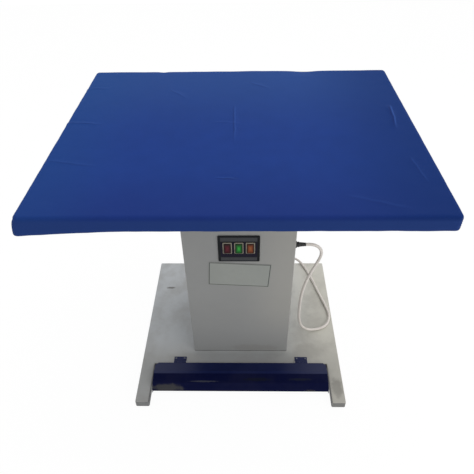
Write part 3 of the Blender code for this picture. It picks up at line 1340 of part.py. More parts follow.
def coil_points():
    """Two layers of loops, in along the floor and out above, with straight ends along -X."""
    steps = round(COIL_TURNS * COIL_STEPS)
    low = CORD_DIAMETER / 2 + CORD_LIFT
    points = []
    for step in range(2 * steps + 1):
        angle = -math.pi / 2 - math.tau * step / COIL_STEPS
        radius = COIL_INNER + COIL_PITCH * abs(steps - step) / COIL_STEPS
        climb = min(max((step - steps) / COIL_STEPS * 2 + 0.5, 0.0), 1.0)
        place = (COIL_X + radius * math.cos(angle), COIL_Y + radius * math.sin(angle), low + COIL_PITCH * climb)
        points.append(Vector(place))
    return [points[0] + Vector((CORD_DIAMETER, 0.0, 0.0)), *points, points[-1] - Vector((COIL_TAIL, 0.0, 0.0))]


def length_of(points):
    return sum((second - first).length for first, second in zip(points, points[1:]))


def make_cord(material):
    coil = coil_points()
    start = Vector((GLAND_END + FIT_GAP, GLAND_Y, GLAND_Z))
    end = coil[0] + Vector((FIT_GAP, 0.0, 0.0))
    lead = Vector((CORD_DIAMETER, 0.0, 0.0))
    middle = [Vector(point) for point in CORD_ROUTE]
    free = smooth_route([start, start + lead, *middle, end + lead, end])
    make_tube("power_cord", free, CORD_DIAMETER, 2, material)
    make_tube("cord_coil", coil, CORD_DIAMETER, 1, material)
    apart = COIL_STEPS // 2
    least = min(
        (first - second).length for index, first in enumerate(coil) for second in coil[index + apart:]
    )
    print(f"cord: {length_of(free):.3f} m free in {len(free)} points, {length_of(coil):.3f} m in the coil")
    print(f"coil: least gap to itself {(least - CORD_DIAMETER) * 1000:.2f} mm")


def make_plug(finishes):
    """A three pin plug lying beside the coil, with a neck that tapers to the cord."""
    end = coil_points()[-1]
    frame = Matrix(((0, 0, -1, end.x - FIT_GAP), (-1, 0, 0, end.y), (0, 1, 0, end.z), (0, 0, 0, 1)))
    tip, root = CORD_DIAMETER + 2 * FIT_GAP, PLUG_NECK_WIDTH
    sections = [(rectangle(tip, tip, tip / 2 - FIT_GAP, 3), 0.0), (rectangle(root, root, PLUG_ROUND, 3), PLUG_NECK)]
    for width, length in zip(PLUG_WIDTH_SHARES, PLUG_LENGTH_SHARES):
        outline = rectangle(PLUG_WIDTH * width, PLUG_THICK * width, PLUG_ROUND, 3)
        sections.append((outline, PLUG_NECK + PLUG_LENGTH * length))
    make_node("plug_body", loft(sections, frame), finishes["white_cord"], smooth=True)
    face = PLUG_NECK + PLUG_LENGTH + FIT_GAP
    insert = rectangle(PLUG_WIDTH - 2 * PLUG_ROUND, PLUG_THICK - 2 * PLUG_ROUND, PLUG_ROUND / 2, 3)
    node = make_node("plug_pins", slab(insert, face, face + INSERT_THICK, frame), finishes["brass"], smooth=True)
    places = [
        (LIVE_PIN_RADIUS, -PIN_SPREAD / 2, -PIN_RISE / 2), (LIVE_PIN_RADIUS, PIN_SPREAD / 2, -PIN_RISE / 2),
        (EARTH_PIN_RADIUS, 0.0, PIN_RISE / 2),
    ]
    pins = []
    for radius, across, up in places:
        profile = [
            (radius, face + INSERT_THICK / 2), (radius, face + PIN_LENGTH - radius / 2),
            (radius / 2, face + PIN_LENGTH),
        ]
        pins.append(turned(profile, SMALL_STEPS, frame @ moved(across, up, 0.0)))
    return fuse(node, pins)


def clear_scene():
    for item in list(bpy.data.objects):
        bpy.data.objects.remove(item)


def main():
    clear_scene()
    finishes = make_finishes()
    make_cover(finishes["blue_fabric"])
    make_hem_cord(finishes["white_cord"])
    make_pad(finishes)
    make_perforated_sheet(finishes["zinc"])
    make_tray(finishes["zinc"])
    make_ribs(finishes["zinc"])
    make_heater(finishes["steel"])
    make_bearers(finishes["cabinet_paint"])
    make_pedestal(finishes["cabinet_paint"])
    make_back_cover(finishes["cabinet_paint"])
    make_cover_screws(finishes["zinc"])
    make_base(finishes["plate_paint"])
    make_floor_strips(finishes["rubber"])
    make_base_bolts(finishes["zinc"])
    make_pedal(finishes["navy_paint"])
    make_hinge_leaves(finishes["navy_paint"])
    make_hinge_pins(finishes["steel"])
    make_hinge_screws(finishes["zinc"])
    make_bracket(finishes["zinc"])
    make_springs(finishes["steel"])
    make_limit_switch(finishes)
    make_panel(finishes["panel_black"])
    make_switches(finishes)
    make_name_plate(finishes["label"])
    make_shelf(finishes["cabinet_paint"])
    make_blower(finishes)
    make_impeller(finishes)
    make_motor(finishes)
    make_duct(finishes["black_plastic"])
    make_gland(finishes)
    make_cord(finishes["white_cord"])
    make_plug(finishes)


main()
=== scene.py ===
"""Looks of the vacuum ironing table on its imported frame: cover, pad, cord, seams, fasteners and finishes.

Metres, +Z up. The origin is on the floor under the middle of the table top.
The user stands on the -Y side.
"""

import json
import math

import bmesh
import bpy
import numpy as np
from mathutils import Matrix, Vector


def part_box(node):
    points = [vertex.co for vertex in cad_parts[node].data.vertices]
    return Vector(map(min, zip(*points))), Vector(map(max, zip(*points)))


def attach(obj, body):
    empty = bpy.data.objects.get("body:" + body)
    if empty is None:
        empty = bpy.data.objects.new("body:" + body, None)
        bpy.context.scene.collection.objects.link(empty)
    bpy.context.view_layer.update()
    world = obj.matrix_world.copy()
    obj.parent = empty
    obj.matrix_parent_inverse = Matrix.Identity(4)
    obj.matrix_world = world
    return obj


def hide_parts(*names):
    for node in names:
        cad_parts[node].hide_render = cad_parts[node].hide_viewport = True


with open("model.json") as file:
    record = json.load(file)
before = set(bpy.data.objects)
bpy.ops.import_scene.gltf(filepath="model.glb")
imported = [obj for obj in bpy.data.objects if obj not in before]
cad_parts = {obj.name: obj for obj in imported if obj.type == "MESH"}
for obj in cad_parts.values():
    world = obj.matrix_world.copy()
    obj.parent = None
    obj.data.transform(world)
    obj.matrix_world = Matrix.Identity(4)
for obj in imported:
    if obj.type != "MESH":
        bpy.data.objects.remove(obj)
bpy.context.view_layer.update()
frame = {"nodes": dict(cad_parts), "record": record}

bl_info = {
    "name": "Vacuum ironing table looks",
    "version": (1, 0, 0),
    "blender": (4, 5, 0),
    "location": "View3D > Sidebar > Ironing table",
    "description": "Dresses the ironing table's frame with its cover, pad, cord, fasteners and finishes",
    "category": "Object",
}

# Sizes of the frame that the pieces are fitted to
FRAME_BODY = "frame"
COVER_LOW, COVER_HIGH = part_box("fabric_cover")
FELT_LOW, FELT_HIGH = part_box("felt_layer")
FOAM_LOW, FOAM_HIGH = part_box("foam_pad")
SHEET_LOW, SHEET_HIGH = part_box("perforated_sheet")
GLAND_LOW, GLAND_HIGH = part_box("cable_gland")
PANEL_HALF_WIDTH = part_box("control_panel")[1].x
LABEL_LOW, LABEL_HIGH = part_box("name_plate")
FIT_GAP = 0.0003
CORNER_RADIUS = 0.014  # of the cover's corners, seen from above
EDGE_RADIUS = 0.010  # of the round between the cover's top and its skirt
HEM_TUCK = 0.030
TRAY_FLOOR_Z = 0.8198  # underside of the suction tray, without its collar
COVER_WALL = 0.0018  # from the cover's outer face to the pad
PAD_SLACK = 0.0003  # the pad's layers are this much lower than in the frame

# The cord's route: the frame's, but rounder where it leaves the gland and where it lands on the base
CORD_DIAMETER = 0.010
CORD_SPACING = 0.010  # between two points of the finished line
CORD_LIFT = 0.0006  # of the coil over the floor
GLAND_EXIT = (0.2081, -0.140, 0.530)
COIL_TURNS = 2.5  # in each of its two layers
COIL_STEPS = 24
COIL_INNER = 0.040
COIL_PITCH = 0.0106
COIL_MIDDLE = (0.040, 0.390)
COIL_TAIL = 0.038
ROUTE_STEPS = 12  # between two knots
CORD_ROUTE = [
    (0.2342, -0.1400, 0.5276), (0.2488, -0.1399, 0.5184), (0.2580, -0.1396, 0.5040),
    (0.2600, -0.1390, 0.4865), (0.2578, -0.1381, 0.4700), (0.2522, -0.1370, 0.4510),
    (0.2412, -0.1350, 0.4170), (0.2276, -0.1320, 0.3700), (0.2170, -0.1275, 0.3100),
    (0.2130, -0.1220, 0.2500), (0.2130, -0.1170, 0.1950), (0.2165, -0.1110, 0.1400),
    (0.2250, -0.1040, 0.0950), (0.2390, -0.0970, 0.0640), (0.2590, -0.0907, 0.0440),
    (0.2835, -0.0850, 0.0352), (0.3100, -0.0772, 0.0336), (0.3315, -0.0625, 0.0336),
    (0.3460, -0.0395, 0.0336), (0.3510, -0.0110, 0.0336), (0.3460, 0.0250, 0.0336),
    (0.3340, 0.0700, 0.0336), (0.3190, 0.1250, 0.0336), (0.3050, 0.1800, 0.0336),
    (0.2900, 0.2300, 0.0336), (0.2760, 0.2650, 0.0340), (0.2620, 0.2920, 0.0342),
    (0.2430, 0.3190, 0.0280), (0.2190, 0.3400, 0.0165), (0.1900, 0.3520, 0.0075),
    (0.1600, 0.3530, 0.0056), (0.1300, 0.3450, 0.0056), (0.1000, 0.3320, 0.0056),
]

# Creases in the cover: start, end, half width and height, in metres
CREASES = [
    ((-0.512, 0.272), (-0.425, 0.271), 0.006, 0.0013),
    ((-0.512, 0.036), (-0.395, 0.024), 0.006, 0.0015),
    ((-0.014, 0.150), (-0.009, -0.100), 0.007, 0.0013),
    ((-0.080, 0.036), (0.014, 0.021), 0.006, 0.0007),
    ((0.464, 0.140), (0.449, -0.020), 0.009, 0.0034),
    ((0.448, -0.160), (0.464, -0.290), 0.008, 0.0007),
    ((-0.510, -0.172), (-0.350, -0.206), 0.009, 0.0007),
    ((-0.232, 0.262), (-0.160, 0.186), 0.008, 0.0009),
    ((0.034, 0.312), (0.108, 0.258), 0.010, 0.0009),
    ((-0.060, -0.256), (0.012, -0.263), 0.008, -0.0011),
    ((0.250, -0.330), (0.420, -0.395), 0.014, 0.0004),
]

# Cable gland: radii, and distances out from the pedestal's side
GLAND_NECK_RADIUS = 0.0075
HEXAGON_CORNER = 0.0115
HEXAGON_CHAMFER = 0.0007
HEXAGON_SHOULDER, HEXAGON_END = 0.0060, 0.0070
DOME_RADIUS = 0.0085
DOME_RIM_RADIUS = 0.0080
DOME_START, DOME_KNURL_START, DOME_KNURL_END, DOME_END = 0.0071, 0.0078, 0.0142, 0.0150
RELIEF_BASE, RELIEF_TIP = 0.0076, 0.0058  # radii of the strain relief
RELIEF_RIBS = 7
RELIEF_GROOVE = 0.0007

# Plug: the neck, then its body as share of its length, width, height and squareness
PLUG_NECK = 0.022
PLUG_LENGTH = 0.046
NECK_TIP, NECK_ROOT = 0.0106, 0.0170
NECK_STEPS = 12
NECK_GROOVE = 0.0016
PLUG_BODY = [
    (0.06, 0.0240, 0.0200, 2.6), (0.15, 0.0310, 0.0210, 3.0), (0.28, 0.0370, 0.0235, 3.4),
    (0.45, 0.0400, 0.0250, 3.8), (0.60, 0.0408, 0.0262, 4.2), (0.76, 0.0428, 0.0290, 4.8),
    (0.90, 0.0440, 0.0300, 5.2), (0.96, 0.0436, 0.0297, 5.2), (1.00, 0.0414, 0.0275, 5.0),
]

# Name plate and switches
LABEL_TILT = math.radians(3.6)  # of the ruled border on the name plate
BORDER_HALF_WIDTH, BORDER_HALF_HEIGHT = 0.0955, 0.0480
LEGEND_STRIPS = ((0.5795, 0.5950), (0.5015, 0.5150))  # lower and upper edge
SWITCH_WELL_Z, SWITCH_WELL_HALF_HEIGHT = 0.5470, 0.030
PANEL_INSET = 0.008
LENS_HALF_WIDTH, LENS_HALF_HEIGHT = 0.0095, 0.0165

# Screws, seams and twine
SCREW_HEAD_HEIGHT = 0.0018
THREAD_RADIUS = 0.0003
SEAM_SPREAD = 0.0016
CASING_INSET = 0.012
TWIST_PITCH = 0.014
TWINE_STRANDS = 3
TAIL_STEPS = 6

# The cover's loose front left corner: how far it moves, and over what lengths that fades
DROOP_OUT, DROOP_FORWARD, DROOP_DOWN = 0.0110, 0.0020, 0.0110
DROOP_CORNER_X, DROOP_CORNER_Y = 0.030, 0.060
DROOP_HEM_X, DROOP_HEM_Y = 0.150, 0.045
DROOP_TOP_Z, DROOP_HEIGHT = 0.848, 0.028

# Dips in the back edge of pad and cover: middle, width and depth, and how far forward they reach
BACK_DIPS = ((0.225, 0.040, 0.0038), (-0.270, 0.014, 0.0018))
DIP_START_Y, DIP_REACH = 0.360, 0.045
COVER_DIP_FLOOR, COVER_DIP_HEIGHT = 0.835, 0.020  # the cover dips above this, and fully this much higher

# Cover: how far its even face lies below the frame's, the gaps under the tray, and its waves' heights
COVER_SINK = 0.0004
HEM_GAP, CASING_GAP = 0.0006, 0.0009
CALM_HEIGHT, DRAG_HEIGHT = 0.0003, 0.0003
SKIRT_STAND_OFF, SKIRT_WAVE, SKIRT_RIPPLE = 0.0004, 0.00016, 0.00020

# Seeds of the waves in the cloth
CALM_SEED, DRAG_SEED, SLACK_SEED = 11, 5, 23
FELT_SEED, FOAM_SEED = 31, 47

# Pad and perforated sheet
PAD_CELL = 0.016
PAD_WAVE = 0.00008
SHEET_CORNER_CUT = 0.0045

# Photograph's camera and the stage
SENSOR_WIDTH = 36.0
FOCAL_PIXELS = 475.0
PHOTO_WIDTH_PIXELS = 474.0
CAMERA_PLACE = (0.0243, -1.2397, 1.5244)
CAMERA_PITCH, CAMERA_YAW, CAMERA_ROLL = math.radians(41.209), math.radians(-1.582), math.radians(-1.143)
WHITE = 1.02  # strength of the background where it is seen directly
FLOOR_WHITE_SHARE = 0.94
LAMP_TARGET = (0.0, 0.0, 0.5)
LAMPS = [  # name, place, size and share of the lamp power
    ("lamp_over_table", (0.5, 0.9, 3.1), 2.4, 1.0),
    ("lamp_from_user", (2.8, -2.2, 1.7), 3.0, 1.1),
]


# Settings

class CoverSettings(bpy.types.PropertyGroup):
    """Sizes and colour of the cover."""

    colour: bpy.props.FloatVectorProperty(
        name="Cover colour", description="Colour of the cotton cover", default=(0.0100, 0.0370, 0.200),
        subtype="COLOR", size=3, min=0.0, max=1.0)
    thickness: bpy.props.FloatProperty(
        name="Cloth thickness", description="Thickness of the cotton", default=0.0009, unit="LENGTH")
    cell: bpy.props.FloatProperty(
        name="Cell", description="Spacing of the points of the cloth", default=0.0054, unit="LENGTH")
    crease: bpy.props.FloatProperty(
        name="Crease share", description="Height of the creases, as a share of their usual height",
        default=1.0, subtype="FACTOR", min=0.0, max=3.0)
    thread_pitch: bpy.props.FloatProperty(
        name="Thread pitch", description="Distance between two threads of the weave", default=0.0009,
        unit="LENGTH")
    stitch_length: bpy.props.FloatProperty(
        name="Stitch length", description="Length of one stitch", default=0.0042, unit="LENGTH")


class PaintSettings(bpy.types.PropertyGroup):
    """Colours and wear of the painted metal."""

    plate: bpy.props.FloatVectorProperty(
        name="Plate colour", description="Paint of the base plate", default=(0.56, 0.585, 0.605),
        subtype="COLOR", size=3, min=0.0, max=1.0)
    cabinet: bpy.props.FloatVectorProperty(
        name="Cabinet colour", description="Paint of the cabinet", default=(0.270, 0.274, 0.270),
        subtype="COLOR", size=3, min=0.0, max=1.0)
    pedal: bpy.props.FloatVectorProperty(
        name="Pedal colour", description="Paint of the pedal and its hinges", default=(0.0075, 0.0125, 0.060),
        subtype="COLOR", size=3, min=0.0, max=1.0)
    wear: bpy.props.FloatProperty(
        name="Edge wear", description="How much paint is rubbed off the edges", default=0.45,
        subtype="FACTOR", min=0.0, max=1.0)
    dust: bpy.props.FloatProperty(
        name="Dust", description="How much dust lies on faces that look up", default=0.35,
        subtype="FACTOR", min=0.0, max=1.0)
    edge_round: bpy.props.FloatProperty(
        name="Edge rounding", description="Radius of the sheet metal's cut edges", default=0.0004,
        unit="LENGTH")


class FittingSettings(bpy.types.PropertyGroup):
    """Sizes of the fasteners, the cord and the perforated sheet."""

    screw_head: bpy.props.FloatProperty(
        name="Screw head radius", description="Radius of a screw's head", default=0.0034, unit="LENGTH")
    hole_pitch: bpy.props.FloatProperty(
        name="Hole pitch", description="Distance between two holes of the perforated sheet", default=0.0254,
        unit="LENGTH")
    hole_radius: bpy.props.FloatProperty(
        name="Hole radius", description="Radius of a hole of the perforated sheet", default=0.004,
        unit="LENGTH")
    cord_colour: bpy.props.FloatVectorProperty(
        name="Cord colour", description="Colour of the mains cord's sheath", default=(0.76, 0.71, 0.66),
        subtype="COLOR", size=3, min=0.0, max=1.0)


class StageSettings(bpy.types.PropertyGroup):
    """Floor and light of the stage."""

    floor_colour: bpy.props.FloatVectorProperty(
        name="Floor colour", description="Colour of the floor", default=(0.86, 0.86, 0.86),
        subtype="COLOR", size=3, min=0.0, max=1.0)
    sky: bpy.props.FloatProperty(
        name="Sky strength", description="Light from all round", default=0.62, min=0.0, max=2.0)
    lamp: bpy.props.FloatProperty(
        name="Lamp power", description="Power of the large lamp over the table", default=34.0,
        unit="POWER", min=0.0)
    floor_size: bpy.props.FloatProperty(
        name="Floor size", description="Side of the square floor", default=9.0, unit="LENGTH", min=1.0)


class TableLooks(bpy.types.PropertyGroup):
    """All the settings of the table's looks."""

    cover: bpy.props.PointerProperty(type=CoverSettings, name="Cover", description="Cover of the table top")
    paint: bpy.props.PointerProperty(type=PaintSettings, name="Paint", description="Painted sheet metal")
    fitting: bpy.props.PointerProperty(
        type=FittingSettings, name="Fittings", description="Fasteners and cord")
    stage: bpy.props.PointerProperty(type=StageSettings, name="Stage", description="Floor and light")


def looks():
    return bpy.context.scene.ironing_table


# Node trees

class Nodes:
    """Short calls that add nodes to a tree and link them."""

    def __init__(self, tree):
        self.tree = tree

    def feed(self, node, inputs):
        for key, value in inputs.items():
            socket = node.inputs[key]
            if isinstance(value, bpy.types.NodeSocket):
                self.tree.links.new(value, socket)
            else:
                socket.default_value = value

    def add(self, kind, inputs=None, **settings):
        node = self.tree.nodes.new(kind)
        for name, value in settings.items():
            setattr(node, name, value)
        self.feed(node, inputs or {})
        return node

    def maths(self, operation, first, second=0.0, third=0.0, clamp=False):
        inputs = {0: first, 1: second}
        if operation in {"MULTIPLY_ADD", "COMPARE", "SMOOTH_MIN", "SMOOTH_MAX"}:
            inputs[2] = third
        return self.add("ShaderNodeMath", inputs, operation=operation, use_clamp=clamp).outputs[0]

    def vector(self, operation, first, second=(0.0, 0.0, 0.0), output=0):
        return self.add("ShaderNodeVectorMath", {0: first, 1: second}, operation=operation).outputs[output]

    def distance(self, value, middle):
        return self.maths("ABSOLUTE", self.maths("SUBTRACT", value, middle))

    def ramp(self, value, low, high):
        """Rises smoothly from zero at low to one at high, which may be the smaller."""
        inputs = {0: value, 1: low, 2: high, 3: 0.0, 4: 1.0}
        return self.add("ShaderNodeMapRange", inputs, interpolation_type="SMOOTHSTEP", clamp=True).outputs[0]

    def mix(self, share, first, second):
        node = self.add("ShaderNodeMix", {"Factor": share}, data_type="RGBA")
        self.feed(node, {6: first, 7: second})
        return node.outputs[2]

    def noise(self, vector, scale, detail=2.0, rough=0.5):
        inputs = {"Vector": vector, "Scale": scale, "Detail": detail, "Roughness": rough}
        return self.add("ShaderNodeTexNoise", inputs).outputs["Fac"]

    def place(self):
        return self.add("ShaderNodeTexCoord").outputs["Object"]

    def parts(self, vector):
        return self.add("ShaderNodeSeparateXYZ", {0: vector}).outputs


def new_group(name, inputs, outputs):
    """A shader node group with named sockets, each given as (name, kind, default)."""
    tree = bpy.data.node_groups.new(name, "ShaderNodeTree")
    for title, kind, default in inputs:
        socket = tree.interface.new_socket(title, in_out="INPUT", socket_type=kind)
        if default is not None:
            socket.default_value = default
    for title, kind in outputs:
        tree.interface.new_socket(title, in_out="OUTPUT", socket_type=kind)
    nodes = Nodes(tree)
    return nodes, nodes.add("NodeGroupInput").outputs, nodes.add("NodeGroupOutput")


def grain_group():
    """Orange peel of sprayed paint and moulded plastic, with slow changes of tone."""
    nodes, given, result = new_group(
        "surface_grain",
        [("Vector", "NodeSocketVector", None), ("Grain Scale", "NodeSocketFloat", 900.0),
         ("Tone Scale", "NodeSocketFloat", 3.0)],
        [("Height", "NodeSocketFloat"), ("Tone", "NodeSocketFloat")])
    fine = nodes.noise(given["Vector"], given["Grain Scale"], 1.0)
    slow = nodes.noise(given["Vector"], given["Tone Scale"], 3.0, 0.55)
    cloud = nodes.noise(given["Vector"], nodes.maths("MULTIPLY", given["Tone Scale"], 9.0), 2.0)
    tone = nodes.maths("MULTIPLY_ADD", cloud, 0.3, nodes.maths("MULTIPLY", slow, 0.7))
    nodes.feed(result, {"Height": fine, "Tone": tone})
    return nodes.tree


def edge_wear_group():
    """A mask that is one where a convex edge is rubbed bare."""
    nodes, given, result = new_group(
        "edge_wear",
        [("Vector", "NodeSocketVector", None), ("Radius", "NodeSocketFloat", 0.0015),
         ("Amount", "NodeSocketFloat", 0.4), ("Scale", "NodeSocketFloat", 60.0)],
        [("Mask", "NodeSocketFloat")])
    rounded = nodes.add("ShaderNodeBevel", {"Radius": given["Radius"]}, samples=4).outputs[0]
    plain = nodes.add("ShaderNodeNewGeometry").outputs["Normal"]
    turn = nodes.maths("SUBTRACT", 1.0, nodes.vector("DOT_PRODUCT", rounded, plain, output=1))
    edge = nodes.ramp(turn, 0.02, 0.22)
    patches = nodes.ramp(nodes.noise(given["Vector"], given["Scale"], 4.0, 0.65), 0.47, 0.62)
    worn = nodes.maths("MULTIPLY", nodes.maths("MULTIPLY", edge, patches), given["Amount"], clamp=True)
    nodes.feed(result, {"Mask": worn})
    return nodes.tree


def dust_group():
    """A mask of dust and shoe dirt on the faces that look up."""
    nodes, given, result = new_group(
        "dust",
        [("Vector", "NodeSocketVector", None), ("Amount", "NodeSocketFloat", 0.3),
         ("Scale", "NodeSocketFloat", 14.0)],
        [("Mask", "NodeSocketFloat")])
    up = nodes.parts(nodes.add("ShaderNodeNewGeometry").outputs["Normal"])["Z"]
    faces = nodes.ramp(up, 0.25, 0.95)
    clouds = nodes.ramp(nodes.noise(given["Vector"], given["Scale"], 5.0, 0.6), 0.38, 0.70)
    specks = nodes.ramp(nodes.noise(given["Vector"], 260.0, 2.0), 0.60, 0.72)
    amount = nodes.maths("MULTIPLY_ADD", specks, 0.35, clouds)
    mask = nodes.maths("MULTIPLY", nodes.maths("MULTIPLY", faces, amount), given["Amount"], clamp=True)
    nodes.feed(result, {"Mask": mask})
    return nodes.tree


def scuff_and_highlight_group():
    """A mask of a patch with a ragged border, round one place, for rubbed patches, press marks and a painted
    highlight.
    """
    nodes, given, result = new_group(
        "scuff_and_highlight",
        [("Vector", "NodeSocketVector", None), ("Place", "NodeSocketVector", None),
         ("Size", "NodeSocketVector", None), ("Scale", "NodeSocketFloat", 40.0)],
        [("Mask", "NodeSocketFloat")])
    offset = nodes.vector("DIVIDE", nodes.vector("SUBTRACT", given["Vector"], given["Place"]), given["Size"])
    away = nodes.vector("LENGTH", offset, output=1)
    ragged = nodes.noise(given["Vector"], given["Scale"], 4.0, 0.7)
    reach = nodes.maths("MULTIPLY_ADD", ragged, 1.1, away)
    nodes.feed(result, {"Mask": nodes.ramp(reach, 1.35, 0.95)})
    return nodes.tree


def crease_group():
    """Painted light and painted shade on the two sides of a pressed crease between two places, seen from
    above.
    """
    nodes, given, result = new_group(
        "crease",
        [("Vector", "NodeSocketVector", None), ("Start", "NodeSocketVector", None),
         ("End", "NodeSocketVector", None), ("Width", "NodeSocketFloat", 0.004)],
        [("Light", "NodeSocketFloat"), ("Dark", "NodeSocketFloat"), ("Height", "NodeSocketFloat")])
    flat = nodes.vector("MULTIPLY", given["Vector"], (1.0, 1.0, 0.0))
    run = nodes.vector("SUBTRACT", given["End"], given["Start"])
    length = nodes.vector("LENGTH", run, output=1)
    wander = nodes.maths("MULTIPLY", nodes.maths("SUBTRACT", nodes.noise(flat, 28.0, 2.0), 0.5), 0.008)
    away = nodes.vector("SUBTRACT", flat, given["Start"])
    heading = nodes.vector("NORMALIZE", run)
    along = nodes.maths("DIVIDE", nodes.vector("DOT_PRODUCT", away, heading, output=1), length)
    side = nodes.vector("CROSS_PRODUCT", heading, (0.0, 0.0, 1.0))
    across = nodes.maths("ADD", nodes.vector("DOT_PRODUCT", away, side, output=1), wander)
    fade = nodes.maths("MULTIPLY", nodes.ramp(along, 0.0, 0.18), nodes.ramp(along, 1.0, 0.65))
    patchy = nodes.maths("MULTIPLY_ADD", nodes.noise(flat, 45.0, 2.0), 1.1, 0.35)
    strength = nodes.maths("MULTIPLY", fade, patchy, clamp=True)
    sides = []
    for place in (-0.55, 0.65):
        shift = nodes.maths("MULTIPLY", given["Width"], place)
        spread = nodes.maths("DIVIDE", nodes.maths("SUBTRACT", across, shift), given["Width"])
        bell = nodes.ramp(nodes.maths("ABSOLUTE", spread), 0.9, 0.1)
        sides.append(nodes.maths("MULTIPLY", bell, strength))
    height = nodes.maths("SUBTRACT", sides[0], sides[1])
    nodes.feed(result, {"Light": sides[0], "Dark": sides[1], "Height": height})
    return nodes.tree


def weave_group():
    """Plain weave: threads that pass over and under each other, with slubs."""
    nodes, given, result = new_group(
        "weave",
        [("Vector", "NodeSocketVector", None), ("Pitch", "NodeSocketFloat", 0.001)],
        [("Height", "NodeSocketFloat"), ("Tone", "NodeSocketFloat")])
    turn = nodes.maths("DIVIDE", math.pi, given["Pitch"])
    scaled = nodes.parts(given["Vector"])
    waves = [nodes.maths("SINE", nodes.maths("MULTIPLY", scaled[axis], turn)) for axis in ("X", "Y")]
    warp = nodes.maths("ABSOLUTE", waves[0])
    weft = nodes.maths("ABSOLUTE", waves[1])
    over = nodes.ramp(nodes.maths("MULTIPLY", waves[0], waves[1]), -0.2, 0.2)
    height = nodes.maths("ADD", nodes.maths("MULTIPLY", warp, over),
                         nodes.maths("MULTIPLY", weft, nodes.maths("SUBTRACT", 1.0, over)))
    slub = nodes.noise(given["Vector"], 420.0, 2.0)
    nodes.feed(result, {"Height": height, "Tone": slub})
    return nodes.tree


GROUP_MAKERS = {
    "surface_grain": grain_group, "edge_wear": edge_wear_group, "dust": dust_group, "scuff_and_highlight": scuff_and_highlight_group,
    "weave": weave_group, "crease": crease_group,
}


# Finishes

class Finish(Nodes):
    """A material with one Principled BSDF, and calls for the effects that several finishes share."""

    def __init__(self, name, colour, roughness, metallic=0.0, **constants):
        self.material = bpy.data.materials.new(name)
        self.material.use_nodes = True
        super().__init__(self.material.node_tree)
        self.tree.nodes.clear()
        self.shader = self.add("ShaderNodeBsdfPrincipled")
        out = self.add("ShaderNodeOutputMaterial")
        self.tree.links.new(self.shader.outputs[0], out.inputs[0])
        self.material.diffuse_color = (*colour, 1.0)
        self.vector_in = self.place()
        self.colour = (*colour, 1.0)
        self.feed(self.shader, {"Base Color": self.colour, "Roughness": roughness, "Metallic": metallic})
        for title, value in constants.items():
            self.feed(self.shader, {title.replace("_", " "): value})

    def group(self, name, **inputs):
        """Adds a shared effect. It follows the piece's own coordinates unless a Vector is given."""
        tree = bpy.data.node_groups.get(name) or GROUP_MAKERS[name]()
        node = self.add("ShaderNodeGroup", node_tree=tree)
        given = {"Vector": self.vector_in, **inputs}
        self.feed(node, {title.replace("_", " "): value for title, value in given.items()})
        return node.outputs

    def grain(self, scale, tone_scale):
        return self.group("surface_grain", Grain_Scale=scale, Tone_Scale=tone_scale)

    def tint(self, mask, colour, share=1.0):
        """Lays a colour over what is there, where the mask is one."""
        part = self.maths("MULTIPLY", mask, share) if share != 1.0 else mask
        self.colour = self.mix(part, self.colour, (*colour, 1.0))

    def shade(self, value, low, high):
        """Multiplies the colour by low to high, as the value goes from a quarter to three quarters."""
        inputs = {0: value, 1: 0.25, 2: 0.75, 3: low, 4: high}
        factor = self.add("ShaderNodeMapRange", inputs, clamp=True).outputs[0]
        node = self.add("ShaderNodeMix", {"Factor": 1.0}, data_type="RGBA", blend_type="MULTIPLY")
        self.feed(node, {6: self.colour, 7: self.grey(factor)})
        self.colour = node.outputs[2]

    def grey(self, value):
        return self.add("ShaderNodeCombineColor", {0: value, 1: value, 2: value}).outputs[0]

    def bump(self, height, distance, strength=1.0, under=None):
        inputs = {"Height": height, "Distance": distance, "Strength": strength}
        if under:
            inputs["Normal"] = under
        normal = self.add("ShaderNodeBump", inputs).outputs[0]
        self.feed(self.shader, {"Normal": normal})
        return normal

    def roughness(self, value, low, high):
        inputs = {0: value, 1: 0.0, 2: 1.0, 3: low, 4: high}
        self.feed(self.shader, {"Roughness": self.add("ShaderNodeMapRange", inputs, clamp=True).outputs[0]})

    def done(self):
        self.feed(self.shader, {"Base Color": self.colour})
        return self.material


def painted(name, colour, roughness, tone, wear_colour, scuffs_and_highlights, washes, zones=(), gloss=0.5, dust_share=1.0):
    """Sprayed paint on sheet steel: orange peel, slow tone, worn edges, dust, and scuffs and painted
    highlights at named places.

    A wash runs along one axis. A zone is bounded in the distance from the middle plane and in Y. Most washes
    are painted light and shade, and the zones in the plate's notch partly so.
    """
    sizes = looks().paint
    finish = Finish(name, colour, roughness, Specular_IOR_Level=gloss)
    grain = finish.grain(700.0, 2.6)
    finish.shade(grain["Tone"], 1.0 - tone, 1.0 + tone)
    for axis, low, high, tint, share in washes:
        place = finish.parts(finish.vector_in)[axis]
        finish.tint(finish.ramp(place, low, high), tint, share)
    dust = finish.group("dust", Amount=sizes.dust * dust_share, Scale=11.0)["Mask"]
    finish.tint(dust, (0.30, 0.285, 0.26))
    for across, along, tint, share in zones:
        place = finish.parts(finish.vector_in)
        beside = finish.ramp(finish.maths("ABSOLUTE", place["X"]), *across)
        finish.tint(finish.maths("MULTIPLY", beside, finish.ramp(place["Y"], *along)), tint, share)
    for place, size, tint, share, scale in scuffs_and_highlights:
        mask = finish.group("scuff_and_highlight", Place=place, Size=size, Scale=scale)["Mask"]
        finish.tint(mask, tint, share)
    worn = finish.group("edge_wear", Radius=0.0016, Amount=sizes.wear, Scale=70.0)["Mask"]
    finish.tint(worn, wear_colour)
    rough = finish.maths("MULTIPLY_ADD", dust, 0.8, finish.maths("MULTIPLY", grain["Tone"], 0.35), clamp=True)
    finish.roughness(rough, roughness - 0.05, min(roughness + 0.35, 1.0))
    finish.bump(grain["Height"], 0.00006, 0.6)
    return finish.done()


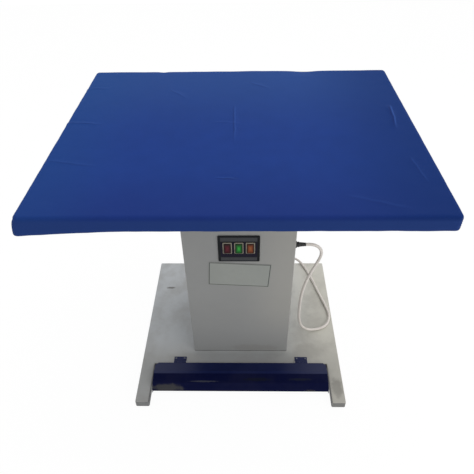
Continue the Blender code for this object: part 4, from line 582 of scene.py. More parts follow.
def plate_finish():
    colour = looks().paint.plate
    scuffs_and_highlights = [
        ((-0.298, 0.140, 0.028), (0.030, 0.008, 0.01), (0.13, 0.12, 0.11), 0.8, 60.0),
        ((-0.200, -0.210, 0.028), (0.10, 0.030, 0.01), (0.33, 0.325, 0.31), 0.4, 25.0),
        ((0.250, -0.180, 0.028), (0.08, 0.060, 0.01), (0.36, 0.345, 0.31), 0.4, 20.0),
        # darker patch on the right arm towards its front
        ((0.338, -0.330, 0.028), (0.030, 0.060, 0.02), (0.20, 0.19, 0.17), 0.5, 40.0),
    ]
    washes = [
        ("Y", -0.05, -0.32, (0.27, 0.275, 0.28), 0.50),
        # Painted light: lighter and warmer towards the right
        ("X", 0.05, 0.33, (0.66, 0.635, 0.545), 0.80),
        ("Y", -0.10, -0.23, (0.35, 0.342, 0.315), 0.42),
        # Painted shade: the front faces of the arms darker
        ("Y", -0.3908, -0.3916, (0.11, 0.113, 0.115), 0.85),
    ]
    # The notch's inner walls: dirt and painted shade, then painted deep shade that makes them nearly black
    dirt, notch_wall_shade = (0.10, 0.10, 0.10), (0.014, 0.014, 0.016)
    zones = [
        ((0.26, 0.16), (-0.165, -0.200), (0.20, 0.205, 0.21), 0.45),
        ((0.3200, 0.3146), (-0.2300, -0.2420), dirt, 0.55),
        ((0.3153, 0.3147), (-0.2355, -0.2372), notch_wall_shade, 0.97),
    ]
    return painted("plate_paint_finish", colour, 0.46, 0.09, (0.12, 0.115, 0.11), scuffs_and_highlights, washes, zones)


def cabinet_finish():
    colour = looks().paint.cabinet
    washes = [
        # Painted light: lighter and warmer towards the right
        ("X", -0.02, 0.17, (0.360, 0.350, 0.320), 0.65),
        # Painted light: lighter towards the bottom, against the shade that falls there
        ("Z", 0.30, 0.06, (0.330, 0.335, 0.335), 0.70),
        # Painted shadow: a dark line along the bottom edge, over the base plate
        ("Z", 0.0315, 0.0305, (0.05, 0.045, 0.04), 0.7),
    ]
    scuffs_and_highlights = [((0.05, -0.181, 0.05), (0.14, 0.01, 0.03), (0.22, 0.21, 0.19), 0.30, 22.0)]
    return painted("cabinet_paint_finish", colour, 0.42, 0.06, (0.16, 0.155, 0.15), scuffs_and_highlights, washes,
                   dust_share=0.6)


def pedal_finish():
    colour = looks().paint.pedal
    scuffs_and_highlights = [
        ((-0.262, -0.338, 0.030), (0.085, 0.022, 0.022), (0.062, 0.062, 0.064), 0.85, 45.0),
        # Painted highlight: a pale streak along the bend of the tread
        ((-0.130, -0.320, 0.045), (0.075, 0.005, 0.010), (0.060, 0.064, 0.085), 0.7, 80.0),
        ((0.060, -0.312, 0.046), (0.080, 0.010, 0.010), (0.009, 0.011, 0.020), 0.7, 60.0),
        ((0.210, -0.312, 0.046), (0.060, 0.008, 0.010), (0.014, 0.017, 0.028), 0.7, 60.0),
        ((0.245, -0.345, 0.024), (0.026, 0.010, 0.008), (0.05, 0.048, 0.05), 0.7, 90.0),
    ]
    # Painted shade: the sloping tread darker than the flange
    washes = [("Y", -0.2875, -0.2925, (0.0020, 0.0036, 0.030), 0.92)]
    zones = [((0.10, 0.31), (-0.2925, -0.2880), (0.048, 0.054, 0.110), 0.85)]
    return painted("navy_paint_finish", colour, 0.42, 0.22, (0.05, 0.05, 0.07), scuffs_and_highlights, washes, zones,
                   gloss=0.04, dust_share=0.04)


def panel_finish():
    """Satin black plate with a bare legend strip above and below the switches."""
    finish = Finish("panel_black_finish", (0.010, 0.011, 0.013), 0.50, Specular_IOR_Level=0.10)
    place = finish.parts(finish.vector_in)
    sides = finish.maths("LESS_THAN", finish.maths("ABSOLUTE", place["X"]), PANEL_HALF_WIDTH - PANEL_INSET)
    for low, high in LEGEND_STRIPS:
        middle, half = (low + high) / 2, (high - low) / 2
        band = finish.maths("LESS_THAN", finish.distance(place["Z"], middle), half)
        finish.tint(finish.maths("MULTIPLY", band, sides), (0.055, 0.057, 0.062))
    well = finish.maths("LESS_THAN", finish.distance(place["Z"], SWITCH_WELL_Z), SWITCH_WELL_HALF_HEIGHT)
    finish.tint(finish.maths("MULTIPLY", well, sides), (0.010, 0.008, 0.022), 0.8)
    grain = finish.grain(1200.0, 14.0)
    finish.shade(grain["Tone"], 0.85, 1.15)
    worn = finish.group("edge_wear", Radius=0.001, Amount=0.5, Scale=120.0)["Mask"]
    finish.tint(worn, (0.14, 0.14, 0.14))
    finish.bump(grain["Height"], 0.00004, 0.5)
    return finish.done()


def label_finish():
    """Bare printed film with a thin ruled border."""
    finish = Finish("label_finish", (0.290, 0.305, 0.285), 0.40, Specular_IOR_Level=0.4)
    middle = (LABEL_LOW + LABEL_HIGH) / 2
    inputs = {"Vector": finish.vector_in, "Location": (-middle.x, -middle.y, -middle.z)}
    centred = finish.add("ShaderNodeMapping", inputs).outputs[0]
    inputs = {"Vector": centred, "Rotation": (0.0, -LABEL_TILT, 0.0)}
    flat = finish.parts(finish.add("ShaderNodeMapping", inputs).outputs[0])
    across = finish.maths("SUBTRACT", BORDER_HALF_WIDTH, finish.maths("ABSOLUTE", flat["X"]))
    up = finish.maths("SUBTRACT", BORDER_HALF_HEIGHT, finish.maths("ABSOLUTE", flat["Z"]))
    inside = finish.maths("MINIMUM", across, up)
    line = finish.ramp(finish.maths("ABSOLUTE", inside), 0.0015, 0.0009)
    finish.tint(line, (0.030, 0.034, 0.032), 0.92)
    grain = finish.grain(900.0, 8.0)
    finish.shade(grain["Tone"], 0.94, 1.05)
    rim = finish.ramp(inside, -0.0022, -0.0034)
    finish.tint(rim, (0.20, 0.20, 0.19), 0.6)
    finish.bump(grain["Height"], 0.00003, 0.4)
    return finish.done()


def plastic(name, colour, roughness, tone):
    finish = Finish(name, colour, roughness)
    grain = finish.grain(1600.0, 22.0)
    finish.shade(grain["Tone"], 1.0 - tone, 1.0 + tone)
    worn = finish.group("edge_wear", Radius=0.0006, Amount=0.35, Scale=150.0)["Mask"]
    finish.tint(worn, tuple(min(1.0, part * 1.5 + 0.03) for part in colour))
    finish.roughness(grain["Tone"], roughness - 0.06, roughness + 0.12)
    finish.bump(grain["Height"], 0.00003, 0.5)
    return finish.done()


def lens(name, node, colour, glow):
    """A tinted switch cap with a painted glow: dark round its rim, paler in the middle where the lamp sits
    behind it.
    """
    low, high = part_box(node)
    middle = (low + high) / 2
    rim = tuple(part * 0.25 for part in colour)
    finish = Finish(name, rim, 0.20, Specular_IOR_Level=0.12, Coat_Weight=0.08, Coat_Roughness=0.08)
    place = finish.parts(finish.vector_in)
    x = finish.maths("DIVIDE", finish.distance(place["X"], middle.x), LENS_HALF_WIDTH)
    z = finish.maths("DIVIDE", finish.distance(place["Z"], middle.z), LENS_HALF_HEIGHT)
    away = finish.maths("SMOOTH_MAX", x, z, 0.3)
    # Painted glow of the lamp behind the cap: paler inwards from the rim, palest in the middle
    lit = finish.ramp(away, 0.95, 0.55)
    finish.tint(lit, colour)
    glow_core = finish.ramp(away, 0.55, 0.15)
    finish.tint(glow_core, glow, 0.75)
    ribs = finish.maths("SINE", finish.maths("MULTIPLY", place["Z"], 3600.0))
    finish.bump(ribs, 0.00012, 0.25)
    return finish.done()


def zinc_finish():
    """Zinc plating with a faint spangle."""
    finish = Finish("zinc_finish", (0.56, 0.57, 0.59), 0.38, 1.0)
    cells = finish.add("ShaderNodeTexVoronoi", {"Vector": finish.vector_in, "Scale": 95.0})
    tone = finish.parts(cells.outputs["Color"])["X"]
    finish.shade(tone, 0.84, 1.05)
    grain = finish.grain(500.0, 6.0)
    both = finish.maths("MULTIPLY_ADD", tone, 0.5, finish.maths("MULTIPLY", grain["Tone"], 0.5))
    finish.roughness(both, 0.28, 0.52)
    dust = finish.group("dust", Amount=0.25, Scale=18.0)["Mask"]
    finish.tint(dust, (0.32, 0.31, 0.28))
    finish.bump(grain["Height"], 0.00003, 0.4)
    return finish.done()


def bright_metal(name, colour, roughness, stretch):
    """Drawn or ground metal with fine lines along one axis."""
    finish = Finish(name, colour, roughness, 1.0)
    lines = finish.add("ShaderNodeMapping", {"Vector": finish.vector_in, "Scale": stretch}).outputs[0]
    streak = finish.noise(lines, 1.0, 3.0, 0.6)
    finish.shade(streak, 0.85, 1.1)
    grain = finish.grain(800.0, 30.0)
    finish.tint(finish.ramp(grain["Tone"], 0.58, 0.75), (0.20, 0.15, 0.11), 0.45)
    finish.roughness(streak, roughness - 0.08, roughness + 0.15)
    finish.bump(streak, 0.00002, 0.4)
    return finish.done()


def cast_finish():
    finish = Finish("aluminium_finish", (0.60, 0.61, 0.62), 0.5, 1.0)
    grain = finish.grain(320.0, 12.0)
    finish.shade(grain["Tone"], 0.80, 1.05)
    finish.roughness(grain["Tone"], 0.38, 0.68)
    finish.bump(grain["Height"], 0.00018, 0.6)
    return finish.done()


def rubber_finish():
    finish = Finish("rubber_finish", (0.020, 0.020, 0.021), 0.85)
    grain = finish.grain(450.0, 9.0)
    finish.shade(grain["Tone"], 0.75, 1.3)
    dust = finish.group("dust", Amount=0.5, Scale=30.0)["Mask"]
    finish.tint(dust, (0.12, 0.11, 0.10))
    finish.bump(grain["Height"], 0.0001, 0.6)
    return finish.done()


def cover_finish():
    """Royal blue cotton: weave along the cloth's own map, slow changes of tone, painted sheen and shade by
    place and beside the creases, lint and faint press marks.
    """
    sizes = looks().cover
    finish = Finish("blue_cotton", sizes.colour, 0.78, Sheen_Weight=0.08, Sheen_Roughness=0.45,
                    Sheen_Tint=(0.15, 0.40, 1.0, 1.0), Specular_IOR_Level=0.08)
    cloth = finish.add("ShaderNodeUVMap", uv_map="cloth").outputs[0]
    grain = finish.grain(160.0, 2.2)
    finish.shade(grain["Tone"], 0.86, 1.14)
    place = finish.parts(finish.vector_in)
    # Painted sheen and shade: lighter towards the back and the left, darker towards the front and the right,
    # and lighter on the skirt
    finish.tint(finish.ramp(place["Y"], -0.10, 0.42), (0.019, 0.058, 0.212), 0.80)
    finish.tint(finish.ramp(place["Y"], -0.18, -0.42), (0.010, 0.026, 0.160), 0.60)
    finish.tint(finish.ramp(place["X"], -0.25, -0.52), (0.012, 0.060, 0.230), 0.40)
    finish.tint(finish.ramp(place["X"], 0.14, 0.52), (0.0024, 0.0205, 0.118), 0.74)
    finish.tint(finish.ramp(place["Z"], 0.8570, 0.8440), (0.0165, 0.0440, 0.184), 0.80)
    weave = finish.group("weave", Vector=cloth, Pitch=sizes.thread_pitch)
    finish.shade(weave["Tone"], 0.93, 1.07)
    lint = finish.ramp(finish.noise(finish.vector_in, 330.0, 2.0), 0.70, 0.78)
    finish.tint(lint, (0.06, 0.10, 0.26), 0.30)
    press = finish.group("scuff_and_highlight", Place=(-0.016, -0.26, 0.86), Size=(0.034, 0.008, 0.05),
                         Scale=50.0)["Mask"]
    finish.tint(press, (0.009, 0.024, 0.13), 0.5)
    soft = finish.noise(finish.vector_in, 26.0, 3.0)
    # Painted light and shade on the two sides of each crease, and a bump to match
    for start, end, width, height in CREASES:
        fold = finish.group("crease", Start=(*start, 0.0), End=(*end, 0.0), Width=width * 0.55)
        strength = min(abs(height) / 0.002, 1.0)
        finish.tint(fold["Light"], (0.036, 0.092, 0.330), 0.55 * strength)
        finish.tint(fold["Dark"], (0.004, 0.014, 0.095), 0.65 * strength)
        soft = finish.maths("MULTIPLY_ADD", fold["Height"], 0.6 * strength, soft)
    under = finish.bump(soft, 0.0009, 0.35)
    finish.bump(weave["Height"], 0.00012, 0.45, under)
    return finish.done()


def felt_finish():
    finish = Finish("needled_felt", (0.60, 0.58, 0.54), 0.95, Sheen_Weight=0.3, Sheen_Roughness=0.6)
    grain = finish.grain(600.0, 5.0)
    finish.shade(grain["Tone"], 0.85, 1.1)
    fibres = finish.noise(finish.vector_in, 1400.0, 4.0, 0.7)
    finish.bump(fibres, 0.0004, 0.7)
    return finish.done()


def foam_finish():
    finish = Finish("open_foam", (0.70, 0.66, 0.52), 0.95)
    foam = finish.add("ShaderNodeTexVoronoi", {"Vector": finish.vector_in, "Scale": 900.0})
    cells = foam.outputs["Distance"]
    grain = finish.grain(300.0, 4.0)
    finish.shade(grain["Tone"], 0.86, 1.1)
    finish.shade(cells, 1.05, 0.80)
    finish.bump(cells, 0.0005, 0.7)
    return finish.done()


def cord_finish(name, tone):
    colour = tuple(part * tone for part in looks().fitting.cord_colour)
    finish = Finish(name, colour, 0.42, Coat_Weight=0.1)
    grain = finish.grain(700.0, 10.0)
    finish.shade(grain["Tone"], 0.90, 1.06)
    dirt = finish.ramp(finish.noise(finish.vector_in, 26.0, 4.0, 0.6), 0.55, 0.75)
    finish.tint(dirt, (0.42, 0.37, 0.31), 0.45)
    finish.roughness(dirt, 0.38, 0.7)
    finish.bump(grain["Height"], 0.00005, 0.5)
    return finish.done()


def twine_finish(name, colour):
    finish = Finish(name, colour, 0.85, Sheen_Weight=0.2)
    grain = finish.grain(2200.0, 18.0)
    finish.shade(grain["Tone"], 0.82, 1.08)
    finish.bump(grain["Height"], 0.0002, 0.7)
    return finish.done()


# One finish for each slot, and three that only some pieces take: dull_zinc, thread and twine
FINISH_MAKERS = {
    "plate_paint": plate_finish,
    "cabinet_paint": cabinet_finish,
    "navy_paint": pedal_finish,
    "blue_fabric": cover_finish,
    "felt": felt_finish,
    "foam": foam_finish,
    "zinc": zinc_finish,
    "dull_zinc": lambda: bright_metal("dull_zinc_finish", (0.15, 0.16, 0.20), 0.55, (40.0, 900.0, 900.0)),
    "steel": lambda: bright_metal("steel_finish", (0.46, 0.46, 0.47), 0.30, (40.0, 900.0, 900.0)),
    "aluminium": cast_finish,
    "black_plastic": lambda: plastic("black_plastic_finish", (0.016, 0.016, 0.017), 0.46, 0.2),
    "panel_black": panel_finish,
    "beige_plastic": lambda: plastic("beige_plastic_finish", (0.25, 0.225, 0.175), 0.42, 0.10),
    "red_lens": lambda: lens(
        "red_lens_finish", "mains_rocker", (0.062, 0.004, 0.010), (0.120, 0.012, 0.026)),
    "green_lens": lambda: lens(
        "green_lens_finish", "suction_rocker", (0.010, 0.150, 0.020), (0.045, 0.460, 0.060)),
    "amber_lens": lambda: lens(
        "amber_lens_finish", "heater_rocker", (0.190, 0.046, 0.014), (0.330, 0.115, 0.036)),
    "label": label_finish,
    "rubber": rubber_finish,
    "white_cord": lambda: cord_finish("cord_sheath_finish", 1.0),
    "brass": lambda: bright_metal("brass_finish", (0.62, 0.44, 0.20), 0.26, (60.0, 1200.0, 1200.0)),
    "thread": lambda: twine_finish("blue_thread", (0.030, 0.070, 0.270)),
    "twine": lambda: twine_finish("white_twine", (0.62, 0.60, 0.55)),
}
READY = {}


def finish_of(slot):
    if slot not in READY:
        READY[slot] = FINISH_MAKERS[slot]()
    return READY[slot]


# Meshes

def linked(name, data):
    """A new object in the scene."""
    item = bpy.data.objects.new(name, data)
    bpy.context.scene.collection.objects.link(item)
    return item


def add_piece(name, mesh, slot, body=FRAME_BODY, finish=None):
    """Puts a mesh in the scene as a piece that rides on a body."""
    piece = linked(name, mesh)
    mesh.materials.clear()
    mesh.materials.append(finish_of(finish or slot))
    mesh.polygons.foreach_set("use_smooth", [True] * len(mesh.polygons))
    mesh.polygons.foreach_set("material_index", [0] * len(mesh.polygons))
    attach(piece, body)
    return piece


def mesh_of(name, points, faces):
    mesh = bpy.data.meshes.new(name)
    mesh.from_pydata([tuple(point) for point in points], [], faces)
    mesh.update()
    return mesh


def mesh_from(name, body):
    mesh = bpy.data.meshes.new(name)
    body.to_mesh(mesh)
    body.free()
    return mesh


def smooth_by_angle(mesh, degrees):
    mesh.polygons.foreach_set("use_smooth", [True] * len(mesh.polygons))
    mesh.set_sharp_from_angle(angle=math.radians(degrees))


def lofted(name, sections, matrix=Matrix.Identity(4)):
    """Joins closed outlines, each a list of (x, y) and a height, into a capped solid."""
    body = bmesh.new()
    loops = [[body.verts.new((x, y, height)) for x, y in outline] for outline, height in sections]
    body.faces.new(loops[0][::-1])
    body.faces.new(loops[-1])
    for lower, upper in zip(loops, loops[1:]):
        for index, corner in enumerate(lower):
            following = (index + 1) % len(lower)
            body.faces.new((corner, lower[following], upper[following], upper[index]))
    body.transform(matrix)
    bmesh.ops.recalc_face_normals(body, faces=body.faces)
    return mesh_from(name, body)


def polar(radius, angle):
    return radius * math.cos(angle), radius * math.sin(angle)


def ring_points(radius, count):
    return [polar(radius, math.tau * step / count) for step in range(count)]


def hexagon_points(radius, count):
    """Points on a hexagon of this corner radius, one for each step of a circle."""
    points = []
    for step in range(count):
        angle = math.tau * step / count
        within = (angle + math.pi / 6) % (math.pi / 3) - math.pi / 6
        reach = radius * math.cos(math.pi / 6) / math.cos(math.pi / 6 - abs(within))
        points.append(polar(reach, angle))
    return points


def softened(node, name, rounding):
    """A finer copy of a sheet metal or moulded node: its edges rounded and its bends shaded smooth."""
    source = frame["nodes"][node]
    copy = bmesh.new()
    copy.from_mesh(source.data)
    bmesh.ops.remove_doubles(copy, verts=copy.verts, dist=0.000002)
    bmesh.ops.dissolve_limit(copy, angle_limit=math.radians(0.6), verts=copy.verts, edges=copy.edges,
                             delimit={"NORMAL"})
    mesh = mesh_from(name, copy)
    piece = add_piece(name, mesh, SLOT_OF[node], BODY_OF[node])
    bevel = piece.modifiers.new("edges", "BEVEL")
    bevel.width = rounding
    bevel.segments = 2
    bevel.limit_method = "ANGLE"
    bevel.angle_limit = math.radians(38.0)
    bevel.use_clamp_overlap = True
    weigh = piece.modifiers.new("flat faces stay flat", "WEIGHTED_NORMAL")
    weigh.mode = "FACE_AREA"
    weigh.weight = 100
    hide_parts(node)


SLOT_OF = {part["node"]: part["material_slot"] for part in frame["record"]["subparts"]}
BODY_OF = {node: body for body, nodes in frame["record"]["behaviour"]["bodies"].items() for node in nodes}


# Geometry node trees

def geometry_tree(name, sizes):
    """A geometry node tree with a geometry in and out and named sizes."""
    tree = bpy.data.node_groups.new(name, "GeometryNodeTree")
    tree.interface.new_socket("Geometry", in_out="INPUT", socket_type="NodeSocketGeometry")
    for title, kind in sizes:
        tree.interface.new_socket(title, in_out="INPUT", socket_type=kind)
    tree.interface.new_socket("Geometry", in_out="OUTPUT", socket_type="NodeSocketGeometry")
    nodes = Nodes(tree)
    return nodes, nodes.add("NodeGroupInput").outputs, nodes.add("NodeGroupOutput")


def end_tree(nodes, given, result, geometry):
    """Every tree ends in real geometry with its material set."""
    real = nodes.add("GeometryNodeRealizeInstances", {0: geometry}).outputs[0]
    dressed = nodes.add("GeometryNodeSetMaterial", {"Geometry": real, "Material": given["Material"]})
    nodes.feed(result, {0: dressed.outputs[0]})


def grown(carrier, tree, sizes, name, slot, finish=None):
    """Runs a tree on a carrier, and keeps the result as a plain piece."""
    modifier = carrier.modifiers.new("growth", "NODES")
    modifier.node_group = tree
    sockets = {item.name: item.identifier for item in tree.interface.items_tree if item.in_out == "INPUT"}
    for title, value in {**sizes, "Material": finish_of(finish or slot)}.items():
        modifier[sockets[title]] = value
    bpy.context.view_layer.update()
    graph = bpy.context.evaluated_depsgraph_get()
    mesh = bpy.data.meshes.new_from_object(carrier.evaluated_get(graph), depsgraph=graph)
    bpy.data.objects.remove(carrier)
    mesh.name = name
    return add_piece(name, mesh, slot, finish=finish)


def curve_along(name, lines, closed=False):
    """A curve object whose splines follow lists of points."""
    curve = bpy.data.curves.new(name, "CURVE")
    curve.dimensions = "3D"
    for line in lines:
        spline = curve.splines.new("POLY")
        spline.points.add(len(line) - 1)
        for point, place in zip(spline.points, line):
            point.co = (*place, 1.0)
        spline.use_cyclic_u = closed
    return linked(name, curve)


def stitch_tree():
    """Stitches of one length at an even pitch along each curve."""
    nodes, given, result = geometry_tree(
        "stitches",
        [("Stitch Length", "NodeSocketFloat"), ("Pitch", "NodeSocketFloat"),
         ("Thread Radius", "NodeSocketFloat"), ("Material", "NodeSocketMaterial")])
    spaced = nodes.add("GeometryNodeResampleCurve", {"Curve": given["Geometry"], "Length": given["Pitch"]},
                       mode="LENGTH")
    tangent = nodes.add("GeometryNodeInputTangent").outputs[0]
    turn = nodes.add("FunctionNodeAlignRotationToVector", {"Vector": tangent}, axis="X").outputs[0]
    bead = nodes.add("GeometryNodeMeshUVSphere", {"Segments": 6, "Rings": 4, "Radius": 1.0}).outputs[0]
    half = nodes.maths("MULTIPLY", given["Stitch Length"], 0.5)
    size = nodes.add("ShaderNodeCombineXYZ", {0: half, 1: given["Thread Radius"], 2: given["Thread Radius"]})
    inputs = {"Points": spaced.outputs[0], "Instance": bead, "Rotation": turn, "Scale": size.outputs[0]}
    placed = nodes.add("GeometryNodeInstanceOnPoints", inputs)
    end_tree(nodes, given, result, placed.outputs[0])
    return nodes.tree


def twine_tree():
    """A twisted cord of round strands that follows each curve."""
    nodes, given, result = geometry_tree(
        "twisted_twine",
        [("Twine Radius", "NodeSocketFloat"), ("Twist Pitch", "NodeSocketFloat"), ("Step", "NodeSocketFloat"),
         ("Material", "NodeSocketMaterial")])
    spaced = nodes.add("GeometryNodeResampleCurve", {"Curve": given["Geometry"], "Length": given["Step"]},
                       mode="LENGTH").outputs[0]
    travelled = nodes.add("GeometryNodeSplineParameter").outputs["Length"]
    turns = nodes.maths("MULTIPLY", nodes.maths("DIVIDE", travelled, given["Twist Pitch"]), math.tau)
    normal = nodes.add("GeometryNodeInputNormal").outputs[0]
    tangent = nodes.add("GeometryNodeInputTangent").outputs[0]
    side = nodes.vector("CROSS_PRODUCT", normal, tangent)
    strand_radius = nodes.maths("MULTIPLY", given["Twine Radius"], 0.54)
    offset_radius = nodes.maths("MULTIPLY", given["Twine Radius"], 0.46)
    circle = nodes.add("GeometryNodeCurvePrimitiveCircle", {"Resolution": 6, "Radius": strand_radius})
    profile = circle.outputs[0]
    together = nodes.add("GeometryNodeJoinGeometry")
    for strand in range(TWINE_STRANDS):
        angle = nodes.maths("ADD", turns, math.tau * strand / TWINE_STRANDS)
        reach = [nodes.maths("MULTIPLY", nodes.maths(kind, angle), offset_radius)
                 for kind in ("COSINE", "SINE")]
        parts = [nodes.add("ShaderNodeVectorMath", {0: axis, "Scale": amount}, operation="SCALE").outputs[0]
                 for axis, amount in zip((normal, side), reach)]
        offset = nodes.vector("ADD", parts[0], parts[1])
        moved = nodes.add("GeometryNodeSetPosition", {"Geometry": spaced, "Offset": offset}).outputs[0]
        inputs = {"Curve": moved, "Profile Curve": profile, "Fill Caps": True}
        tube = nodes.add("GeometryNodeCurveToMesh", inputs)
        nodes.tree.links.new(tube.outputs[0], together.inputs[0])
    end_tree(nodes, given, result, together.outputs[0])
    return nodes.tree


def fastener_tree():
    """One fastener on each point, turned to the way that point faces."""
    nodes, given, result = geometry_tree(
        "fasteners", [("Fastener", "NodeSocketObject"), ("Material", "NodeSocketMaterial")])
    shape = nodes.add("GeometryNodeObjectInfo", {"Object": given["Fastener"]}).outputs["Geometry"]
    way = nodes.add("GeometryNodeInputNamedAttribute", {"Name": "facing"}, data_type="FLOAT_VECTOR")
    facing = way.outputs[0]
    turn = nodes.add("FunctionNodeAlignRotationToVector", {"Vector": facing}, axis="Z").outputs[0]
    spin = nodes.add("GeometryNodeInputNamedAttribute", {"Name": "spin"}, data_type="FLOAT").outputs[0]
    about = nodes.add("FunctionNodeAxisAngleToRotation", {"Axis": (0.0, 0.0, 1.0), "Angle": spin}).outputs[0]
    both = nodes.add("FunctionNodeRotateRotation", {0: turn, 1: about}, rotation_space="LOCAL").outputs[0]
    placed = nodes.add("GeometryNodeInstanceOnPoints",
                       {"Points": given["Geometry"], "Instance": shape, "Rotation": both})
    end_tree(nodes, given, result, placed.outputs[0])
    return nodes.tree


def perforation_tree():
    """A sheet of square tiles, each with one hole, joined edge to edge."""
    nodes, given, result = geometry_tree(
        "perforations",
        [("Width", "NodeSocketFloat"), ("Depth", "NodeSocketFloat"), ("Columns", "NodeSocketInt"),
         ("Rows", "NodeSocketInt"), ("Material", "NodeSocketMaterial")])
    columns = nodes.maths("DIVIDE", given["Width"], given["Columns"])
    rows = nodes.maths("DIVIDE", given["Depth"], given["Rows"])
    grid = nodes.add("GeometryNodeMeshGrid", {
        "Size X": nodes.maths("SUBTRACT", given["Width"], columns),
        "Size Y": nodes.maths("SUBTRACT", given["Depth"], rows),
        "Vertices X": given["Columns"], "Vertices Y": given["Rows"]}).outputs[0]
    size = nodes.add("ShaderNodeCombineXYZ", {0: columns, 1: rows, 2: 1.0}).outputs[0]
    placed = nodes.add("GeometryNodeInstanceOnPoints",
                       {"Points": grid, "Instance": given["Geometry"], "Scale": size}).outputs[0]
    real = nodes.add("GeometryNodeRealizeInstances", {0: placed}).outputs[0]
    joined = nodes.add("GeometryNodeMergeByDistance", {"Geometry": real, "Distance": 0.0001}).outputs[0]
    end_tree(nodes, given, result, joined)
    return nodes.tree


# Cloth

def cloth_rim(columns, rows, corner_steps):
    """The rim of a grid, counter-clockwise: a vertex number and an outward angle for each of its points."""
    width = columns + 1
    sides = [
        (range(width), 1.5 * math.pi),
        ([index * width + columns for index in range(rows + 1)], 0.0),
        ([rows * width + columns - index for index in range(width)], 0.5 * math.pi),
        ([(rows - index) * width for index in range(rows + 1)], math.pi),
    ]
    rim = []
    for numbers, angle in sides:
        for step in range(corner_steps):
            rim.append((numbers[0], angle - 0.5 * math.pi + 0.5 * math.pi * step / corner_steps))
        for number in numbers[:-1]:
            rim.append((number, angle))
    return rim


def shell_of_cloth(half_x, half_y, cell, corner_steps, profile, lift):
    """A grid of cloth carried outwards and down along a profile of (out, height, normal out, normal up).

    lift gives how far each point moves along its normal, from where the point is held on the grid, its place
    along the rim and its way down the profile. Returns points, faces, the cloth's own flat map and the number
    of points on the rim.
    """
    columns, rows = round(2 * half_x / cell), round(2 * half_y / cell)
    xs, ys = np.linspace(-half_x, half_x, columns + 1), np.linspace(-half_y, half_y, rows + 1)
    grid_x, grid_y = np.meshgrid(xs, ys)
    flat = np.stack([grid_x.ravel(), grid_y.ravel()], axis=1)
    top = np.full(len(flat), profile[0][1])
    base = np.column_stack([flat, top])
    base[:, 2] += lift(flat, np.zeros(len(flat)), 0.0)
    faces = []
    width = columns + 1
    for row in range(rows):
        for column in range(columns):
            corner = row * width + column
            faces.append((corner, corner + 1, corner + width + 1, corner + width))
    rim = cloth_rim(columns, rows, corner_steps)
    numbers = np.array([entry[0] for entry in rim])
    angles = np.array([entry[1] for entry in rim])
    outward = np.stack([np.cos(angles), np.sin(angles)], axis=1)
    anchor = flat[numbers]
    steps = np.linalg.norm(np.diff(anchor + CORNER_RADIUS * outward, axis=0), axis=1)
    along = np.concatenate([[0.0], np.cumsum(steps)])
    clouds, maps = [base], [flat]
    before, run = numbers, 0.0
    least = 0.0008  # keeps the round's corner points apart
    for (out0, z0, _, _), (out, z, normal_out, normal_up) in zip(profile, profile[1:]):
        run += math.hypot(out - out0, z - z0)
        shrink = np.array([(half_x + min(out, 0.0)) / half_x, (half_y + min(out, 0.0)) / half_y])
        edge = anchor * shrink + outward * max(out, least)
        offset = lift(anchor, along, run)
        points = np.column_stack([edge, np.full(len(edge), z)])
        points[:, :2] += outward * (offset * normal_out)[:, None]
        points[:, 2] += offset * normal_up
        start = sum(len(cloud) for cloud in clouds)
        after = np.arange(start, start + len(rim))
        for index in range(len(rim)):
            following = (index + 1) % len(rim)
            face = (before[index], after[index], after[following], before[following])
            faces.append(tuple(dict.fromkeys(int(number) for number in face)))
        clouds.append(points)
        maps.append(anchor + outward * run)
        before = after
    return np.concatenate(clouds), faces, np.concatenate(maps), len(rim)


def ripples(points, seed, longest, shortest, count):
    """Smooth random waves over the plane, from about minus one to one."""
    chance = np.random.default_rng(seed)
    total = np.zeros(len(points))
    for index in range(count):
        length = longest * (shortest / longest) ** (index / max(count - 1, 1))
        heading, phase = chance.uniform(0, math.tau, 2)
        wave = (points[:, 0] * math.cos(heading) + points[:, 1] * math.sin(heading)) / length
        total += np.sin(math.tau * wave + phase) * (length / longest) ** 0.5
    return total / math.sqrt(count)


def crease_height(points, start, end, half_width, height):
    """A soft ridge along a line, with a shallow hollow beside it, fading at both ends."""
    first, last = np.array(start), np.array(end)
    heading = last - first
    length = np.linalg.norm(heading)
    heading /= length
    along = (points - first) @ heading
    across = (points - first) @ np.array([-heading[1], heading[0]])
    across = across + 0.35 * half_width * np.sin(along / length * math.pi * 3.0)
    fade = np.clip(along / (0.2 * length), 0, 1) * np.clip((length - along) / (0.35 * length), 0, 1)
    fade = fade * fade * (3 - 2 * fade)
    ridge = np.exp(-((across / half_width) ** 2))
    hollow = np.exp(-(((across - 1.9 * half_width) / (1.3 * half_width)) ** 2))
    return height * fade * (ridge - 0.45 * hollow)


def cover_lift(anchor, along, run):
    """How far the cover stands off its even shape, along its normal."""
    share = looks().cover.crease
    edge = min(max((run - 0.004) / 0.030, 0.0), 1.0)
    calm = np.maximum(CALM_HEIGHT * ripples(anchor, CALM_SEED, 0.42, 0.09, 9), -CALM_HEIGHT)
    folds = sum(crease_height(anchor, *crease) for crease in CREASES)
    near = np.maximum(np.abs(anchor[:, 0]) - 0.40, 0.0) + np.maximum(np.abs(anchor[:, 1]) - 0.30, 0.0)
    pull = ripples(anchor * np.array([1.0, 3.0]), DRAG_SEED, 0.20, 0.05, 6)
    drag = DRAG_HEIGHT * pull * np.clip(near / 0.10, 0, 1)
    upper = np.maximum(calm + folds + drag, -0.0005) * share
    if run <= 0.0:
        return upper
    waves = np.sin(along * 41.0 + 0.7) + 0.7 * np.sin(along * 67.0 + 2.1) + 0.6 * np.sin(along * 113.0 + 0.3)
    path = np.stack([along, along * 0.37], axis=1)
    slack = SKIRT_WAVE * waves + SKIRT_RIPPLE * ripples(path, SLACK_SEED, 0.19, 0.03, 8)
    corner = np.exp(-((0.5 - np.abs(anchor[:, 0])) / 0.05) ** 2 - ((0.4 - np.abs(anchor[:, 1])) / 0.05) ** 2)
    return upper * (1 - edge) + (SKIRT_STAND_OFF + slack) * edge * (1.0 + 1.2 * corner) * share


